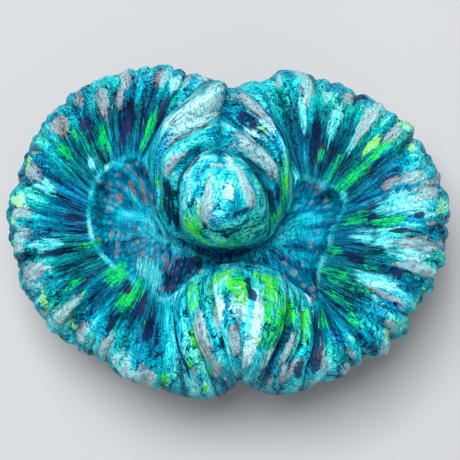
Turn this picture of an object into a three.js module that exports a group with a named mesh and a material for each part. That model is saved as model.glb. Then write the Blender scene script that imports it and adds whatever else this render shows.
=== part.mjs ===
// Open brain coral: one free-living colony, its soft tissue grown over its own stony cone.
//
// The colony is a single closed surface. Seen from above it is a bow tie: two lobes of oral disc round one
// long mouth, walled by a ridge, and outside the ridge a puffed mantle that rolls over and hangs as a
// skirt. In the middle the wall is pinched from the back and from the front, and there the mantle
// stands up in two pleated folds. Under the skirt a stony cone narrows to a flat cut, which it rests on.
//
// The surface is lofted. A spoke is one line up the colony, from the wall to the rim. Rings run round
// the colony through the same point of every spoke, and a column is the full line from the mouth
// to the foot at any place between two spokes.
//
// Millimetres, +X to the right lobe, +Y to the back, +Z up, with the origin under the middle of the
// colony's bounding box, on the flat cut.

import * as THREE from "three";
import { mergeVertices } from "three/addons/utils/BufferGeometryUtils.js";

// Heights above the flat cut.
const MOUTH_Z = 17.8;
const DISC_Z = 22.5;
const WALL_Z = 26.5;
const CROWN_Z = 28.5;
const RIM_Z = 18.5;
const NECK_Z = 16.5;

// Where a mantle spoke's points lie, as shares of the way from its wall to its rim.
const FLANK_SHARE = 0.2;
const CROWN_SHARE = 0.6;
const SHOULDER_SHARE = 0.88;

// The mouth's groove: its two ends, how much higher they lie, and how far it sags to the front.
const MOUTH_LEFT = -18.5;
const MOUTH_RIGHT = 15;
const MOUTH_END_RISE = 4.6;
const MOUTH_BACK_Y = 2.5;
const MOUTH_SAG = 7;

// The stony cone: half its length and half its width at the neck and at the flat cut.
const NECK = { long: 22, wide: 16.5, pinch: 0.22 };
const FOOT = { long: 13, wide: 8.5, pinch: 0.1 };
const PINCH_REACH = 0.35;

// How far a pleat stands out from the crease on each side of it, at the crown.
const PLEAT = 1.2;
const FLANK_PART = 0.35;
const SHOULDER_PART = 0.45;

// The mesh: columns round the colony, and steps up a column between one ring and the next.
const COLUMNS = 140;
const STEPS = [2, 3, 3, 5, 4, 4, 2, 3, 2, 2, 2];

const at = (x, y, z) => new THREE.Vector3(x, y, z);

// A spoke of the open mantle, from the wall's ridge out to the rim, with its crown between them.
function mantle(wall, rim, crownZ = CROWN_Z, rimZ = RIM_Z) {
  const along = (share, z) =>
    at(wall[0] + (rim[0] - wall[0]) * share, wall[1] + (rim[1] - wall[1]) * share, z);
  return {
    wall: along(0, WALL_Z),
    flank: along(FLANK_SHARE, (WALL_Z + crownZ) / 2 - 1),
    crown: along(CROWN_SHARE, crownZ),
    shoulder: along(SHOULDER_SHARE, (crownZ + rimZ) / 2 + 2),
    rim: along(1, rimZ),
  };
}

// A spoke of a standing fold, each point placed by hand: the fold leans out over its own wall.
function fold(wall, flank, crown, shoulder, rim) {
  return {
    wall: at(...wall),
    flank: at(...flank),
    crown: at(...crown),
    shoulder: at(...shoulder),
    rim: at(...rim),
  };
}

// The spokes, anticlockwise from the tip of the right lobe.
const rightBack = [
  mantle([16.5, -0.5], [37, 0]),
  mantle([18, 2], [36, 8]),
  mantle([18.5, 4.5], [33, 13], 28, 20),
  mantle([17.5, 6], [29.5, 18.5]),
  mantle([15.5, 7], [23.5, 23.5]),
  mantle([13.5, 7.5], [16.5, 26.5]),
  mantle([12, 8], [10, 26.8], 28.5, 20),
  mantle([11.5, 8], [5, 25.8], 29, 20),
];
const backFold = [
  fold([11, 8, 26.5], [10, 10.5, 27], [8.7, 15, 29], [5, 20, 28.5], [0.6, 23.5, 22]),
  fold([9, 2.5, 24.5], [9.2, 6.5, 30], [7.5, 14, 34], [2.6, 19.3, 33], [-0.6, 22.3, 27]),
  fold([8, 1.4, 24], [8.3, 4.4, 29], [7, 9.8, 32.5], [2, 15.2, 31.5], [-1.4, 17.8, 29.5]),
  fold([7.2, 0, 23], [7.6, 3.8, 29.5], [6.3, 8.2, 36], [1.5, 12.4, 35.5], [-1.6, 13.8, 32.5]),
  fold([6, -1.2, 22], [6.4, 2, 28.5], [5.2, 6.6, 34.5], [1.6, 9.8, 34.5], [-1.6, 11.2, 32.5]),
  fold([3.7, -2.4, 21], [5.5, -0.8, 30], [4, 3.3, 37.5], [1.6, 7.4, 38], [-1.4, 10.4, 34]),
  fold([-0.7, -2.8, 21], [-0.7, -3.4, 30], [-0.9, 0.3, 39], [-1.3, 6, 39.3], [-1.65, 10.1, 34.5]),
  fold([-5.2, -2.4, 21], [-7, -1.5, 30], [-6, 3.3, 37.5], [-4.3, 7.4, 38], [-1.9, 10.4, 34]),
  fold([-8, -1.3, 22], [-8.7, 2, 28.5], [-8.2, 6.6, 34.5], [-4.6, 10.2, 34.5], [-1.8, 11.2, 32.5]),
  fold([-10.2, 0, 23], [-10.6, 4.4, 29], [-9.6, 9.5, 35.5], [-4.2, 13.2, 35], [-1.8, 13.8, 32.5]),
  fold([-11.2, 1.8, 24], [-11.5, 6, 28.5], [-10.6, 11.4, 32.5], [-3.6, 16, 31.5], [-1.65, 17.8, 29.5]),
  fold([-12.2, 4.7, 25], [-12.6, 8, 29.5], [-10, 14.8, 34], [-2.4, 20.8, 33.5], [-0.8, 22.3, 27]),
  fold([-13.5, 9.5, 27], [-13.2, 12.5, 27], [-10.9, 17, 29], [-7, 21.5, 28], [-2.8, 25.8, 20]),
];
const leftBack = [
  mantle([-14.3, 11], [-7.5, 27.3]),
  mantle([-15.5, 12], [-13.5, 28]),
  mantle([-18, 11], [-20, 26.5]),
  mantle([-21, 9], [-27.5, 23]),
  mantle([-22.5, 6], [-33, 16.5]),
  mantle([-23, 2], [-37, 5.5]),
];
const leftFront = [
  mantle([-22, -3], [-36, -5.5]),
  mantle([-20, -5.5], [-32.5, -12.5]),
  mantle([-17.5, -7.5], [-27, -18]),
  mantle([-14, -10], [-20, -22.5]),
  mantle([-10.5, -12], [-11.5, -26]),
];
const frontFold = [
  fold([-7.5, -9.5, 26], [-8.3, -12.5, 28], [-7, -19, 31], [-5, -23.5, 27.5], [-3.5, -27.2, 19]),
  fold([-5.5, -7.8, 24], [-6, -11, 29], [-4.6, -17.5, 33], [-2.6, -22.4, 30], [-0.3, -26, 19]),
  fold([-2.5, -6.3, 23], [-3.3, -9.5, 29], [-2.2, -16, 34.5], [-0.4, -22, 31], [1.1, -24.4, 21]),
  fold([0, -5.7, 22], [0, -8, 28.5], [0, -15.2, 35], [0.9, -21.6, 31.5], [1.4, -23.8, 24]),
  fold([2.5, -5.7, 22], [2.6, -8, 28.5], [2.4, -15.2, 35], [2, -21.6, 31.5], [1.6, -23.8, 24]),
  fold([5, -6.3, 23], [5.3, -9, 28.5], [4.9, -16, 34.5], [3.3, -22, 31], [1.9, -24.4, 21]),
  fold([7.5, -7, 23.5], [8, -10.5, 29], [7.5, -17, 33], [5, -22.3, 30], [3.5, -25.2, 19]),
  fold([9.5, -9, 25], [10.3, -12.5, 29], [9.7, -18, 31.5], [7.4, -22.8, 28.5], [5.8, -26.2, 19]),
  fold([11.5, -10.5, 26], [12.3, -14, 28.5], [12, -19.3, 30], [10.3, -23.3, 27], [9, -26.5, 19]),
];
const rightFront = [
  mantle([14, -12.5], [14, -25]),
  mantle([14.5, -12], [20.5, -22.5]),
  mantle([14, -9.5], [26.5, -18.5]),
  mantle([14.5, -6.5], [31, -12.5], 28, 20),
  mantle([16, -3], [36, -6]),
];
const spokes = [
  ...rightBack,
  ...backFold,
  ...leftBack,
  ...leftFront,
  ...frontFold,
  ...rightFront,
];
const FIRST_LEFT_FRONT = rightBack.length + backFold.length + leftBack.length;
const BACK_FOLD_AT = rightBack.length;
const FRONT_FOLD_AT = FIRST_LEFT_FRONT + leftFront.length;

// The creases between the pleats of each fold, as places in the list of spokes, and the point that
// the pleats puff away from.
const folds = [
  {
    creases: [0, 2, 4, 8, 10, 12].map((place) => BACK_FOLD_AT + place),
    heart: at(-1, 8, 24),
  },
  {
    creases: [-0.5, 0.4, 2, 3.9, 6.6, 7.6, 8.5].map((place) => FRONT_FOLD_AT + place),
    heart: at(2, -15, 22),
  },
];

const ringNames = ["wall", "flank", "crown", "shoulder", "rim"];
const rings = Object.fromEntries(
  ringNames.map((name) => [
    name,
    new THREE.CatmullRomCurve3(
      spokes.map((spoke) => spoke[name]),
      true,
    ),
  ]),
);

// The point of a ring at a place in the list of spokes, which may lie between two of them.
const onRing = (name, place) => rings[name].getPoint((place / spokes.length) % 1);

// Places in the list of spokes for every column. Each half, back and front, has the same number of
// columns, spread by the crown's and the rim's summed lengths, so that they meet along the mouth.
function columnPlaces() {
  const spread = (from, to) => {
    const fine = Array.from({ length: 401 }, (_, i) => from + ((to - from) * i) / 400);
    const lengths = [0];
    for (let i = 1; i < fine.length; i++) {
      const steps = ["crown", "rim"].map((name) =>
        onRing(name, fine[i]).distanceTo(onRing(name, fine[i - 1])),
      );
      lengths.push(lengths[i - 1] + steps[0] + steps[1]);
    }
    const places = [];
    for (let k = 0, i = 0; k < COLUMNS / 2; k++) {
      const wanted = (lengths.at(-1) * k) / (COLUMNS / 2);
      while (lengths[i + 1] < wanted) i++;
      const share = (wanted - lengths[i]) / (lengths[i + 1] - lengths[i]);
      places.push(fine[i] + share * (fine[i + 1] - fine[i]));
    }
    return places;
  };
  const west = FIRST_LEFT_FRONT - 0.5;
  return [...spread(0, west), ...spread(west, spokes.length)];
}

// A point on the cone's outline: an ellipse, drawn in where the wall above it is pinched.
function coneOutline({ long, wide, pinch }, turn, z) {
  const waist = 1 - pinch * Math.exp(-((Math.cos(turn) / PINCH_REACH) ** 2));
  return at(long * Math.cos(turn), wide * Math.sin(turn) * waist, z);
}

// How full a pleat is at a place: 0 at a crease and 1 midway between two. Outside the folds it
// climbs back to 0.5 within a few spokes.
function puff(creases, place) {
  const outside = Math.max(creases[0] - place, place - creases.at(-1));
  if (outside > 0) return 0.5 * (1 - Math.exp(-1.5 * outside));
  const i = creases.findIndex((c, n) => place >= c && place <= creases[n + 1]);
  const across = (2 * (place - creases[i])) / (creases[i + 1] - creases[i]) - 1;
  return Math.sqrt(1 - across * across);
}

// The line up the colony at one column, from the mouth over the wall and the rim to the foot.
function columnCurve(place, turn) {
  const [wall, flank, crown, shoulder, rim] = ringNames.map((name) => onRing(name, place));
  for (const { creases, heart } of folds) {
    const rise = PLEAT * (puff(creases, place) - 0.5);
    for (const [point, part] of [[flank, FLANK_PART], [crown, 1], [shoulder, SHOULDER_PART]]) {
      point.addScaledVector(point.clone().sub(heart).normalize(), rise * part);
    }
  }
  const along = (1 - Math.cos(turn)) / 2;
  const mouth = at(
    MOUTH_RIGHT + (MOUTH_LEFT - MOUTH_RIGHT) * along,
    MOUTH_BACK_Y - MOUTH_SAG * Math.sin(Math.PI * along) ** 2,
    MOUTH_Z + MOUTH_END_RISE * Math.cos(Math.PI * along) ** 2,
  );
  const disc = mouth.clone().lerp(wall, 0.55).setZ(Math.min(DISC_Z, (mouth.z + wall.z) / 2 + 0.5));
  const neck = coneOutline(NECK, turn, NECK_Z);
  const foot = coneOutline(FOOT, turn, 0);
  const lip = rim.clone().lerp(neck, 0.12).setZ(rim.z - 4.5);
  const under = rim.clone().lerp(neck, 0.6).setZ(NECK_Z - 2);
  const waist = neck.clone().lerp(foot, 0.45).setZ(NECK_Z * 0.5);
  const points = [mouth, disc, wall, flank, crown, shoulder, rim, lip, under, neck, waist, foot];
  return new THREE.CatmullRomCurve3(points, false);
}

// The colony's surface: a grid of columns and rows, closed along the mouth and capped at the foot.
function colonyGeometry() {
  const rows = [0];
  STEPS.forEach((steps, segment) => {
    for (let i = 1; i <= steps; i++) rows.push((segment + i / steps) / STEPS.length);
  });
  const positions = [];
  columnPlaces().forEach((place, k) => {
    const curve = columnCurve(place, (2 * Math.PI * k) / COLUMNS);
    for (const row of rows) positions.push(...curve.getPoint(row));
  });
  const footCentre = positions.length / 3;
  positions.push(0, 0, 0);
  const faces = [];
  const vertex = (k, row) => (k % COLUMNS) * rows.length + row;
  for (let k = 0; k < COLUMNS; k++) {
    for (let row = 0; row + 1 < rows.length; row++) {
      const [a, b] = [vertex(k, row), vertex(k, row + 1)];
      const [c, d] = [vertex(k + 1, row + 1), vertex(k + 1, row)];
      faces.push(a, b, c, a, c, d);
    }
    faces.push(vertex(k, rows.length - 1), footCentre, vertex(k + 1, rows.length - 1));
  }
  const geometry = new THREE.BufferGeometry();
  geometry.setAttribute("position", new THREE.Float32BufferAttribute(positions, 3));
  geometry.setIndex(faces);
  return mergeVertices(geometry, 1e-3);
}

const coral = new THREE.Mesh(
  colonyGeometry(),
  new THREE.MeshStandardMaterial({ color: 0x22b8c4, roughness: 0.5, metalness: 0 }),
);
coral.name = "brain_coral";
coral.geometry.computeBoundingBox();
const middle = coral.geometry.boundingBox.getCenter(new THREE.Vector3());
coral.position.set(-middle.x, -middle.y, 0);

const part = new THREE.Group();
part.add(coral);

export default part;
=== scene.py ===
"""Open brain coral: a free-living colony, its soft tissue grown over its own stony cone.

The flesh is one closed surface, worked out on a grid whose columns run from the mouth over the
ridge wall and the rim to the underside, and whose rows run round the colony. Its plain form is the
CAD node's own, and ribs, ruffles, beads and wrinkles stand on it as real relief. The stony cone is
a second closed surface under it. Lengths in this file are millimetres until a mesh is written, in
metres.
"""

import logging
import math
from dataclasses import dataclass, field
from enum import Enum
from itertools import product, starmap
from typing import NamedTuple

import bpy
import numpy as np
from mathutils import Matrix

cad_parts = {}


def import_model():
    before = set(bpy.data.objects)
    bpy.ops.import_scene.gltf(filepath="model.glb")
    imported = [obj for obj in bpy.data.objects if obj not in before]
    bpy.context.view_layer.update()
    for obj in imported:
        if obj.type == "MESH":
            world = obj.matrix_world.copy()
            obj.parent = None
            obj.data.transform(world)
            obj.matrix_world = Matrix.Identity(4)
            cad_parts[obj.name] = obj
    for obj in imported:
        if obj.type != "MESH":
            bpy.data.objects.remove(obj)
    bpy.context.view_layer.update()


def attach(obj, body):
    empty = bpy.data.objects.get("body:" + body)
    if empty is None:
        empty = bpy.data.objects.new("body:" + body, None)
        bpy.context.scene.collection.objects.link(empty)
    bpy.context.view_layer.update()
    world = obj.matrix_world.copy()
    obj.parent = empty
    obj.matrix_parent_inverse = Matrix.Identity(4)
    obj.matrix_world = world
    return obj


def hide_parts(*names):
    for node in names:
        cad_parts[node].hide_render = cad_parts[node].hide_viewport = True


LOG = logging.getLogger("brain_coral")
MM = 0.001
NODE = "brain_coral"
BODY = "root"
MOUTH_CORNERS = ((-12.8, -1.5), (8.0, -1.0))
LEAST_STEP = 1e-4
LEAST_LENGTH = 1e-9

Point = tuple[float, float, float]
Plan = tuple[float, float]
Colour = tuple[float, float, float, float]
Socket = bpy.types.NodeSocket
Input = Socket | float


# ---------------------------------------------------------------------------------------------
# Noise and curves on whole arrays
# ---------------------------------------------------------------------------------------------


def lattice_value(cell: np.ndarray, seed: int) -> np.ndarray:
    """Gives every lattice cell a fixed value from -1 to 1.

    The cell's whole numbers are multiplied by large odd numbers and added up with the seed, and the
    sum is stirred by shifts and multiplications until neighbouring cells have nothing in common.

    Args:
        cell: Whole numbers, with the lattice's axes last.
        seed: A whole number that picks the pattern.

    Returns:
        One value for each cell.
    """
    odd = np.array([0x9E3779B97F4A7C15, 0xC2B2AE3D27D4EB4F, 0x165667B19E3779F9], dtype=np.uint64)
    mixed = (cell.astype(np.uint64) * odd[: cell.shape[-1]]).sum(axis=-1, dtype=np.uint64)
    mixed += np.uint64(seed * 0x27D4EB2F + 1)
    for shift in (31, 29, 33):
        mixed ^= mixed >> np.uint64(shift)
        mixed *= odd[1]
    return (mixed >> np.uint64(11)).astype(float) / 2.0**52 - 1.0


def smooth_noise(points: np.ndarray, seed: int) -> np.ndarray:
    """Smooth noise from -1 to 1 whose features are about one unit wide.

    It blends the values of the corners of the lattice cell round each point, each corner weighted
    by the product of 3t^2 - 2t^3 along every axis.

    Args:
        points: Places, with two or three coordinates last.
        seed: Picks the pattern.

    Returns:
        One value for each place.
    """
    cell = np.floor(points).astype(np.int64)
    local = points - cell
    blend = local * local * (3.0 - 2.0 * local)
    total = np.zeros(points.shape[:-1])
    for corner in product((0, 1), repeat=points.shape[-1]):
        weight = np.prod(np.where(np.array(corner) == 1, blend, 1.0 - blend), axis=-1)
        total += weight * lattice_value(cell + np.array(corner), seed)
    return total


def lumps(points: np.ndarray, seed: int) -> np.ndarray:
    """Rounded tops with sharp grooves between them, from 0 to 1: the root of the noise's size."""
    return np.sqrt(np.abs(smooth_noise(points, seed)))


def beads(points: np.ndarray, seed: int, jitter: float = 0.35) -> np.ndarray:
    """Round beads packed side by side, one to each unit square.

    Each square has one centre, moved from its middle by up to the jitter. The height at a place is
    the root of 1 - (2d)^2, where d is the distance to the nearest centre, and 0 outside a bead.

    Args:
        points: Places in the plane, with two coordinates last.
        seed: Picks the pattern.
        jitter: How far a centre strays from its square's middle.

    Returns:
        Heights from 0 to 1.
    """
    home = np.floor(points).astype(np.int64)
    nearest = np.full(points.shape[:-1], np.inf)
    for step in product((-1, 0, 1), repeat=2):
        cell = home + np.array(step)
        stray = np.stack([lattice_value(cell, seed), lattice_value(cell, seed + 1)], axis=-1)
        centre = cell + 0.5 + jitter * stray
        nearest = np.minimum(nearest, np.linalg.norm(points - centre, axis=-1))
    return np.sqrt(np.clip(1.0 - (2.0 * nearest) ** 2, 0.0, 1.0))


def rise(values: np.ndarray, low: float, high: float) -> np.ndarray:
    """Goes smoothly from 0 at low to 1 at high, by 3t^2 - 2t^3, and stays level outside."""
    t = np.clip((values - low) / (high - low), 0.0, 1.0)
    return t * t * (3.0 - 2.0 * t)


def catmull_rom(knots: np.ndarray, places: np.ndarray, closed: bool) -> np.ndarray:
    """Points of a centripetal Catmull-Rom curve through knots.

    Between two knots the curve is a cubic. Its end slopes come from the knots on both sides, each
    difference divided by the fourth root of its squared length. An open curve's missing
    neighbours are its first and last steps drawn on.

    Args:
        knots: Knots on the last axis but one, coordinates on the last; axes before them are curves.
        places: Where on the curve, in knots from the first one.
        closed: Whether the last knot leads back to the first.

    Returns:
        The curves' points, with the places on the last axis but one.
    """
    count = knots.shape[-2]
    last = count - 1 if closed else count - 2
    start = np.clip(np.floor(places).astype(int), 0, last)
    if closed:
        around = [knots[..., (start + k) % count, :] for k in (-1, 0, 1, 2)]
    else:
        before = 2.0 * knots[..., :1, :] - knots[..., 1:2, :]
        after = 2.0 * knots[..., -1:, :] - knots[..., -2:-1, :]
        longer = np.concatenate([before, knots, after], axis=-2)
        around = [longer[..., start + k, :] for k in (0, 1, 2, 3)]
    steps = [
        (np.sum((b - a) ** 2, axis=-1, keepdims=True)) ** 0.25
        for a, b in zip(around[:-1], around[1:])
    ]
    middle = np.where(steps[1] < LEAST_STEP, 1.0, steps[1])
    first = np.where(steps[0] < LEAST_STEP, middle, steps[0])
    third = np.where(steps[2] < LEAST_STEP, middle, steps[2])
    x0, x1, x2, x3 = around
    slope1 = ((x1 - x0) / first - (x2 - x0) / (first + middle) + (x2 - x1) / middle) * middle
    slope2 = ((x2 - x1) / middle - (x3 - x1) / (middle + third) + (x3 - x2) / third) * middle
    t = (places - start)[:, None]
    return (
        x1
        + slope1 * t
        + (3.0 * (x2 - x1) - 2.0 * slope1 - slope2) * t**2
        + (2.0 * (x1 - x2) + slope1 + slope2) * t**3
    )


# ---------------------------------------------------------------------------------------------
# The colony's form
# ---------------------------------------------------------------------------------------------


class Spoke(NamedTuple):
    """One line up the mantle, from the ridge wall out to the rim."""

    wall: Point
    flank: Point
    crown: Point
    shoulder: Point
    rim: Point


class Row(Enum):
    """The rows that a column passes through, in order, each with its spread over the mantle.

    The spread is -1 at the mouth, 0 on the wall, 1 at the rim and 2 where the flesh ends.
    """

    MOUTH = -1.0
    DISC = -0.5
    WALL = 0.0
    FLANK = 0.2
    CROWN = 0.6
    SHOULDER = 0.88
    RIM = 1.0
    LIP = 1.2
    UNDER = 1.6
    TUCK = 2.0


@dataclass(frozen=True)
class Cone:
    """An outline of the stony cone: an ellipse drawn in where the wall above it is pinched."""

    long: float
    wide: float
    pinch: float
    z: float
    reach: float = 0.35

    def outline(self, turns: np.ndarray) -> np.ndarray:
        """Points of the ellipse, its Y scaled by 1 - pinch * exp(-(cos turn / reach)^2).

        Args:
            turns: Angles round the cone.

        Returns:
            One point for each angle.
        """
        waist = 1.0 - self.pinch * np.exp(-((np.cos(turns) / self.reach) ** 2))
        x = self.long * np.cos(turns)
        y = self.wide * np.sin(turns) * waist
        return np.stack([x, y, np.full_like(x, self.z)], axis=-1)


@dataclass(frozen=True)
class Fold:
    """A standing fold: its pleats' creases, the sharp ones, and the point they puff away from."""

    creases: tuple[float, ...]
    sharp: tuple[float, ...]
    heart: Point

    def puff(self, places: np.ndarray) -> np.ndarray:
        """How full the pleat is at each place among the spokes.

        Between two creases it is the root of 1 - t^2, where t goes from -1 to 1. Outside the fold
        it climbs back to one half, as 1 - exp(-1.5 d) with the distance d in spokes.

        Args:
            places: Places in the list of spokes.

        Returns:
            Values from 0, in a crease, to 1.
        """
        creases = np.array(self.creases)
        i = np.clip(np.searchsorted(creases, places) - 1, 0, len(creases) - 2)
        across = 2.0 * (places - creases[i]) / (creases[i + 1] - creases[i]) - 1.0
        outside = np.maximum(creases[0] - places, places - creases[-1])
        inner = np.sqrt(np.clip(1.0 - across**2, 0.0, 1.0))
        return np.where(outside > 0, 0.5 * (1.0 - np.exp(-1.5 * np.maximum(outside, 0.0))), inner)

    def share(self, places: np.ndarray) -> np.ndarray:
        """How far each place belongs to the fold: 1 in it, falling to 0 one spoke outside it."""
        return rise(places, self.creases[0] - 1, self.creases[0]) * (
            1.0 - rise(places, self.creases[-1], self.creases[-1] + 1)
        )


@dataclass(frozen=True)
class Dome:
    """The bulb between two creases of a fold, whose patterns run in arches about its pole."""

    start: float
    end: float
    pole: Point
    edge: float = 0.04
    stray: float = 1.4
    stray_size: float = 3.0
    seed: int = 61


@dataclass(frozen=True)
class ColonyForm:
    """The colony's plain form, the same as the CAD node's.

    A spoke is one line up the mantle. Rings run round the colony through the same point of every
    spoke, and a column is the full line from the mouth to the underside between two spokes.
    """

    wall_z: float = 26.5
    crown_z: float = 28.5
    rim_z: float = 18.5
    mouth_z: float = 17.8
    disc_z: float = 22.5
    mouth_left: float = -18.5
    mouth_right: float = 15.0
    mouth_back_y: float = 2.5
    mouth_sag: float = 7.0
    mouth_end_rise: float = 4.6
    flank_dip: float = 1.0
    shoulder_bulge: float = 2.0
    pleat: float = 1.2
    flank_share: float = 0.35
    shoulder_share: float = 0.45
    disc_share: float = 0.55
    disc_bulge: float = 0.5
    lip_share: float = 0.12
    lip_drop: float = 4.5
    under_share: float = 0.6
    under_drop: float = 2.0
    tuck_scale: float = 0.85
    tuck_drop: float = 1.5
    fine_steps: int = 2001
    neck: Cone = Cone(long=22.0, wide=16.5, pinch=0.22, z=16.5)
    foot: Cone = Cone(long=13.0, wide=8.5, pinch=0.1, z=0.0)

    def mantle(
        self, wall: Plan, rim: Plan, crown_z: float | None = None, rim_z: float | None = None
    ) -> Spoke:
        """A spoke of the open mantle, its points at fixed shares of the way from wall to rim.

        Args:
            wall: Where the spoke stands on the wall.
            rim: Where it ends at the rim.
            crown_z: The crown's height, or None for the usual one.
            rim_z: The rim's height, or None for the usual one.

        Returns:
            The spoke.
        """
        top = self.crown_z if crown_z is None else crown_z
        edge = self.rim_z if rim_z is None else rim_z

        def along(share: float, z: float) -> Point:
            """The point at a share of the way from the wall to the rim, at a height."""
            x, y = (start + (end - start) * share for start, end in zip(wall, rim))
            return (x, y, z)

        return Spoke(
            along(Row.WALL.value, self.wall_z),
            along(Row.FLANK.value, (self.wall_z + top) / 2 - self.flank_dip),
            along(Row.CROWN.value, top),
            along(Row.SHOULDER.value, (top + edge) / 2 + self.shoulder_bulge),
            along(Row.RIM.value, edge),
        )

    def right_back(self) -> list[Spoke]:
        """The mantle from the tip of the right lobe round to the back fold.

        Returns:
            The spokes, in their order round the colony.
        """
        return [
            self.mantle((16.5, -0.5), (37, 0)),
            self.mantle((18, 2), (36, 8)),
            self.mantle((18.5, 4.5), (33, 13), 28, 20),
            self.mantle((17.5, 6), (29.5, 18.5)),
            self.mantle((15.5, 7), (23.5, 23.5)),
            self.mantle((13.5, 7.5), (16.5, 26.5)),
            self.mantle((12, 8), (10, 26.8), 28.5, 20),
            self.mantle((11.5, 8), (5, 25.8), 29, 20),
        ]

    def back_fold(self) -> list[Spoke]:
        """The larger fold, from its right crease over the dome to its left crease.

        Returns:
            The spokes, in their order round the colony.
        """
        rows = [
            ((11, 8, 26.5), (10, 10.5, 27), (8.7, 15, 29), (5, 20, 28.5), (0.6, 23.5, 22)),
            ((9, 2.5, 24.5), (9.2, 6.5, 30), (7.5, 14, 34), (2.6, 19.3, 33), (-0.6, 22.3, 27)),
            ((8, 1.4, 24), (8.3, 4.4, 29), (7, 9.8, 32.5), (2, 15.2, 31.5), (-1.4, 17.8, 29.5)),
            ((7.2, 0, 23), (7.6, 3.8, 29.5), (6.3, 8.2, 36), (1.5, 12.4, 35.5), (-1.6, 13.8, 32.5)),
            ((6, -1.2, 22), (6.4, 2, 28.5), (5.2, 6.6, 34.5), (1.6, 9.8, 34.5), (-1.6, 11.2, 32.5)),
            ((3.7, -2.4, 21), (5.5, -0.8, 30), (4, 3.3, 37.5), (1.6, 7.4, 38), (-1.4, 10.4, 34)),
            ((-0.7, -2.8, 21), (-0.7, -3.4, 30), (-0.9, 0.3, 39), (-1.3, 6, 39.3), (-1.65, 10.1, 34.5)),
            ((-5.2, -2.4, 21), (-7, -1.5, 30), (-6, 3.3, 37.5), (-4.3, 7.4, 38), (-1.9, 10.4, 34)),
            ((-8, -1.3, 22), (-8.7, 2, 28.5), (-8.2, 6.6, 34.5), (-4.6, 10.2, 34.5), (-1.8, 11.2, 32.5)),
            ((-10.2, 0, 23), (-10.6, 4.4, 29), (-9.6, 9.5, 35.5), (-4.2, 13.2, 35), (-1.8, 13.8, 32.5)),
            ((-11.2, 1.8, 24), (-11.5, 6, 28.5), (-10.6, 11.4, 32.5), (-3.6, 16, 31.5), (-1.65, 17.8, 29.5)),
            ((-12.2, 4.7, 25), (-12.6, 8, 29.5), (-10, 14.8, 34), (-2.4, 20.8, 33.5), (-0.8, 22.3, 27)),
            ((-13.5, 9.5, 27), (-13.2, 12.5, 27), (-10.9, 17, 29), (-7, 21.5, 28), (-2.8, 25.8, 20)),
        ]
        return list(starmap(Spoke, rows))

    def left_back(self) -> list[Spoke]:
        """The mantle from the back fold round to the tip of the left lobe.

        Returns:
            The spokes, in their order round the colony.
        """
        return [
            self.mantle((-14.3, 11), (-7.5, 27.3)),
            self.mantle((-15.5, 12), (-13.5, 28)),
            self.mantle((-18, 11), (-20, 26.5)),
            self.mantle((-21, 9), (-27.5, 23)),
            self.mantle((-22.5, 6), (-33, 16.5)),
            self.mantle((-23, 2), (-37, 5.5)),
        ]

    def left_front(self) -> list[Spoke]:
        """The mantle from the tip of the left lobe round to the front fold.

        Returns:
            The spokes, in their order round the colony.
        """
        return [
            self.mantle((-22, -3), (-36, -5.5)),
            self.mantle((-20, -5.5), (-32.5, -12.5)),
            self.mantle((-17.5, -7.5), (-27, -18)),
            self.mantle((-14, -10), (-20, -22.5)),
            self.mantle((-10.5, -12), (-11.5, -26)),
        ]

    def front_fold(self) -> list[Spoke]:
        """The smaller fold, from its left crease over the mound to its right crease.

        Returns:
            The spokes, in their order round the colony.
        """
        rows = [
            ((-7.5, -9.5, 26), (-8.3, -12.5, 28), (-7, -19, 31), (-5, -23.5, 27.5), (-3.5, -27.2, 19)),
            ((-5.5, -7.8, 24), (-6, -11, 29), (-4.6, -17.5, 33), (-2.6, -22.4, 30), (-0.3, -26, 19)),
            ((-2.5, -6.3, 23), (-3.3, -9.5, 29), (-2.2, -16, 34.5), (-0.4, -22, 31), (1.1, -24.4, 21)),
            ((0, -5.7, 22), (0, -8, 28.5), (0, -15.2, 35), (0.9, -21.6, 31.5), (1.4, -23.8, 24)),
            ((2.5, -5.7, 22), (2.6, -8, 28.5), (2.4, -15.2, 35), (2, -21.6, 31.5), (1.6, -23.8, 24)),
            ((5, -6.3, 23), (5.3, -9, 28.5), (4.9, -16, 34.5), (3.3, -22, 31), (1.9, -24.4, 21)),
            ((7.5, -7, 23.5), (8, -10.5, 29), (7.5, -17, 33), (5, -22.3, 30), (3.5, -25.2, 19)),
            ((9.5, -9, 25), (10.3, -12.5, 29), (9.7, -18, 31.5), (7.4, -22.8, 28.5), (5.8, -26.2, 19)),
            ((11.5, -10.5, 26), (12.3, -14, 28.5), (12, -19.3, 30), (10.3, -23.3, 27), (9, -26.5, 19)),
        ]
        return list(starmap(Spoke, rows))

    def right_front(self) -> list[Spoke]:
        """The mantle from the front fold back to the tip of the right lobe.

        Returns:
            The spokes, in their order round the colony.
        """
        return [
            self.mantle((14, -12.5), (14, -25)),
            self.mantle((14.5, -12), (20.5, -22.5)),
            self.mantle((14, -9.5), (26.5, -18.5)),
            self.mantle((14.5, -6.5), (31, -12.5), 28, 20),
            self.mantle((16, -3), (36, -6)),
        ]

    def rings(self) -> np.ndarray:
        """The knots of the five rings, one ring for each point of a spoke.

        Returns:
            Knots by ring, spoke and coordinate.
        """
        back = self.right_back() + self.back_fold() + self.left_back()
        front = self.left_front() + self.front_fold() + self.right_front()
        return np.array(back + front, dtype=float).transpose(1, 0, 2)

    def west(self) -> float:
        """The place of the left lobe's tip in the list of spokes."""
        return len(self.right_back() + self.back_fold() + self.left_back()) - 0.5

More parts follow.
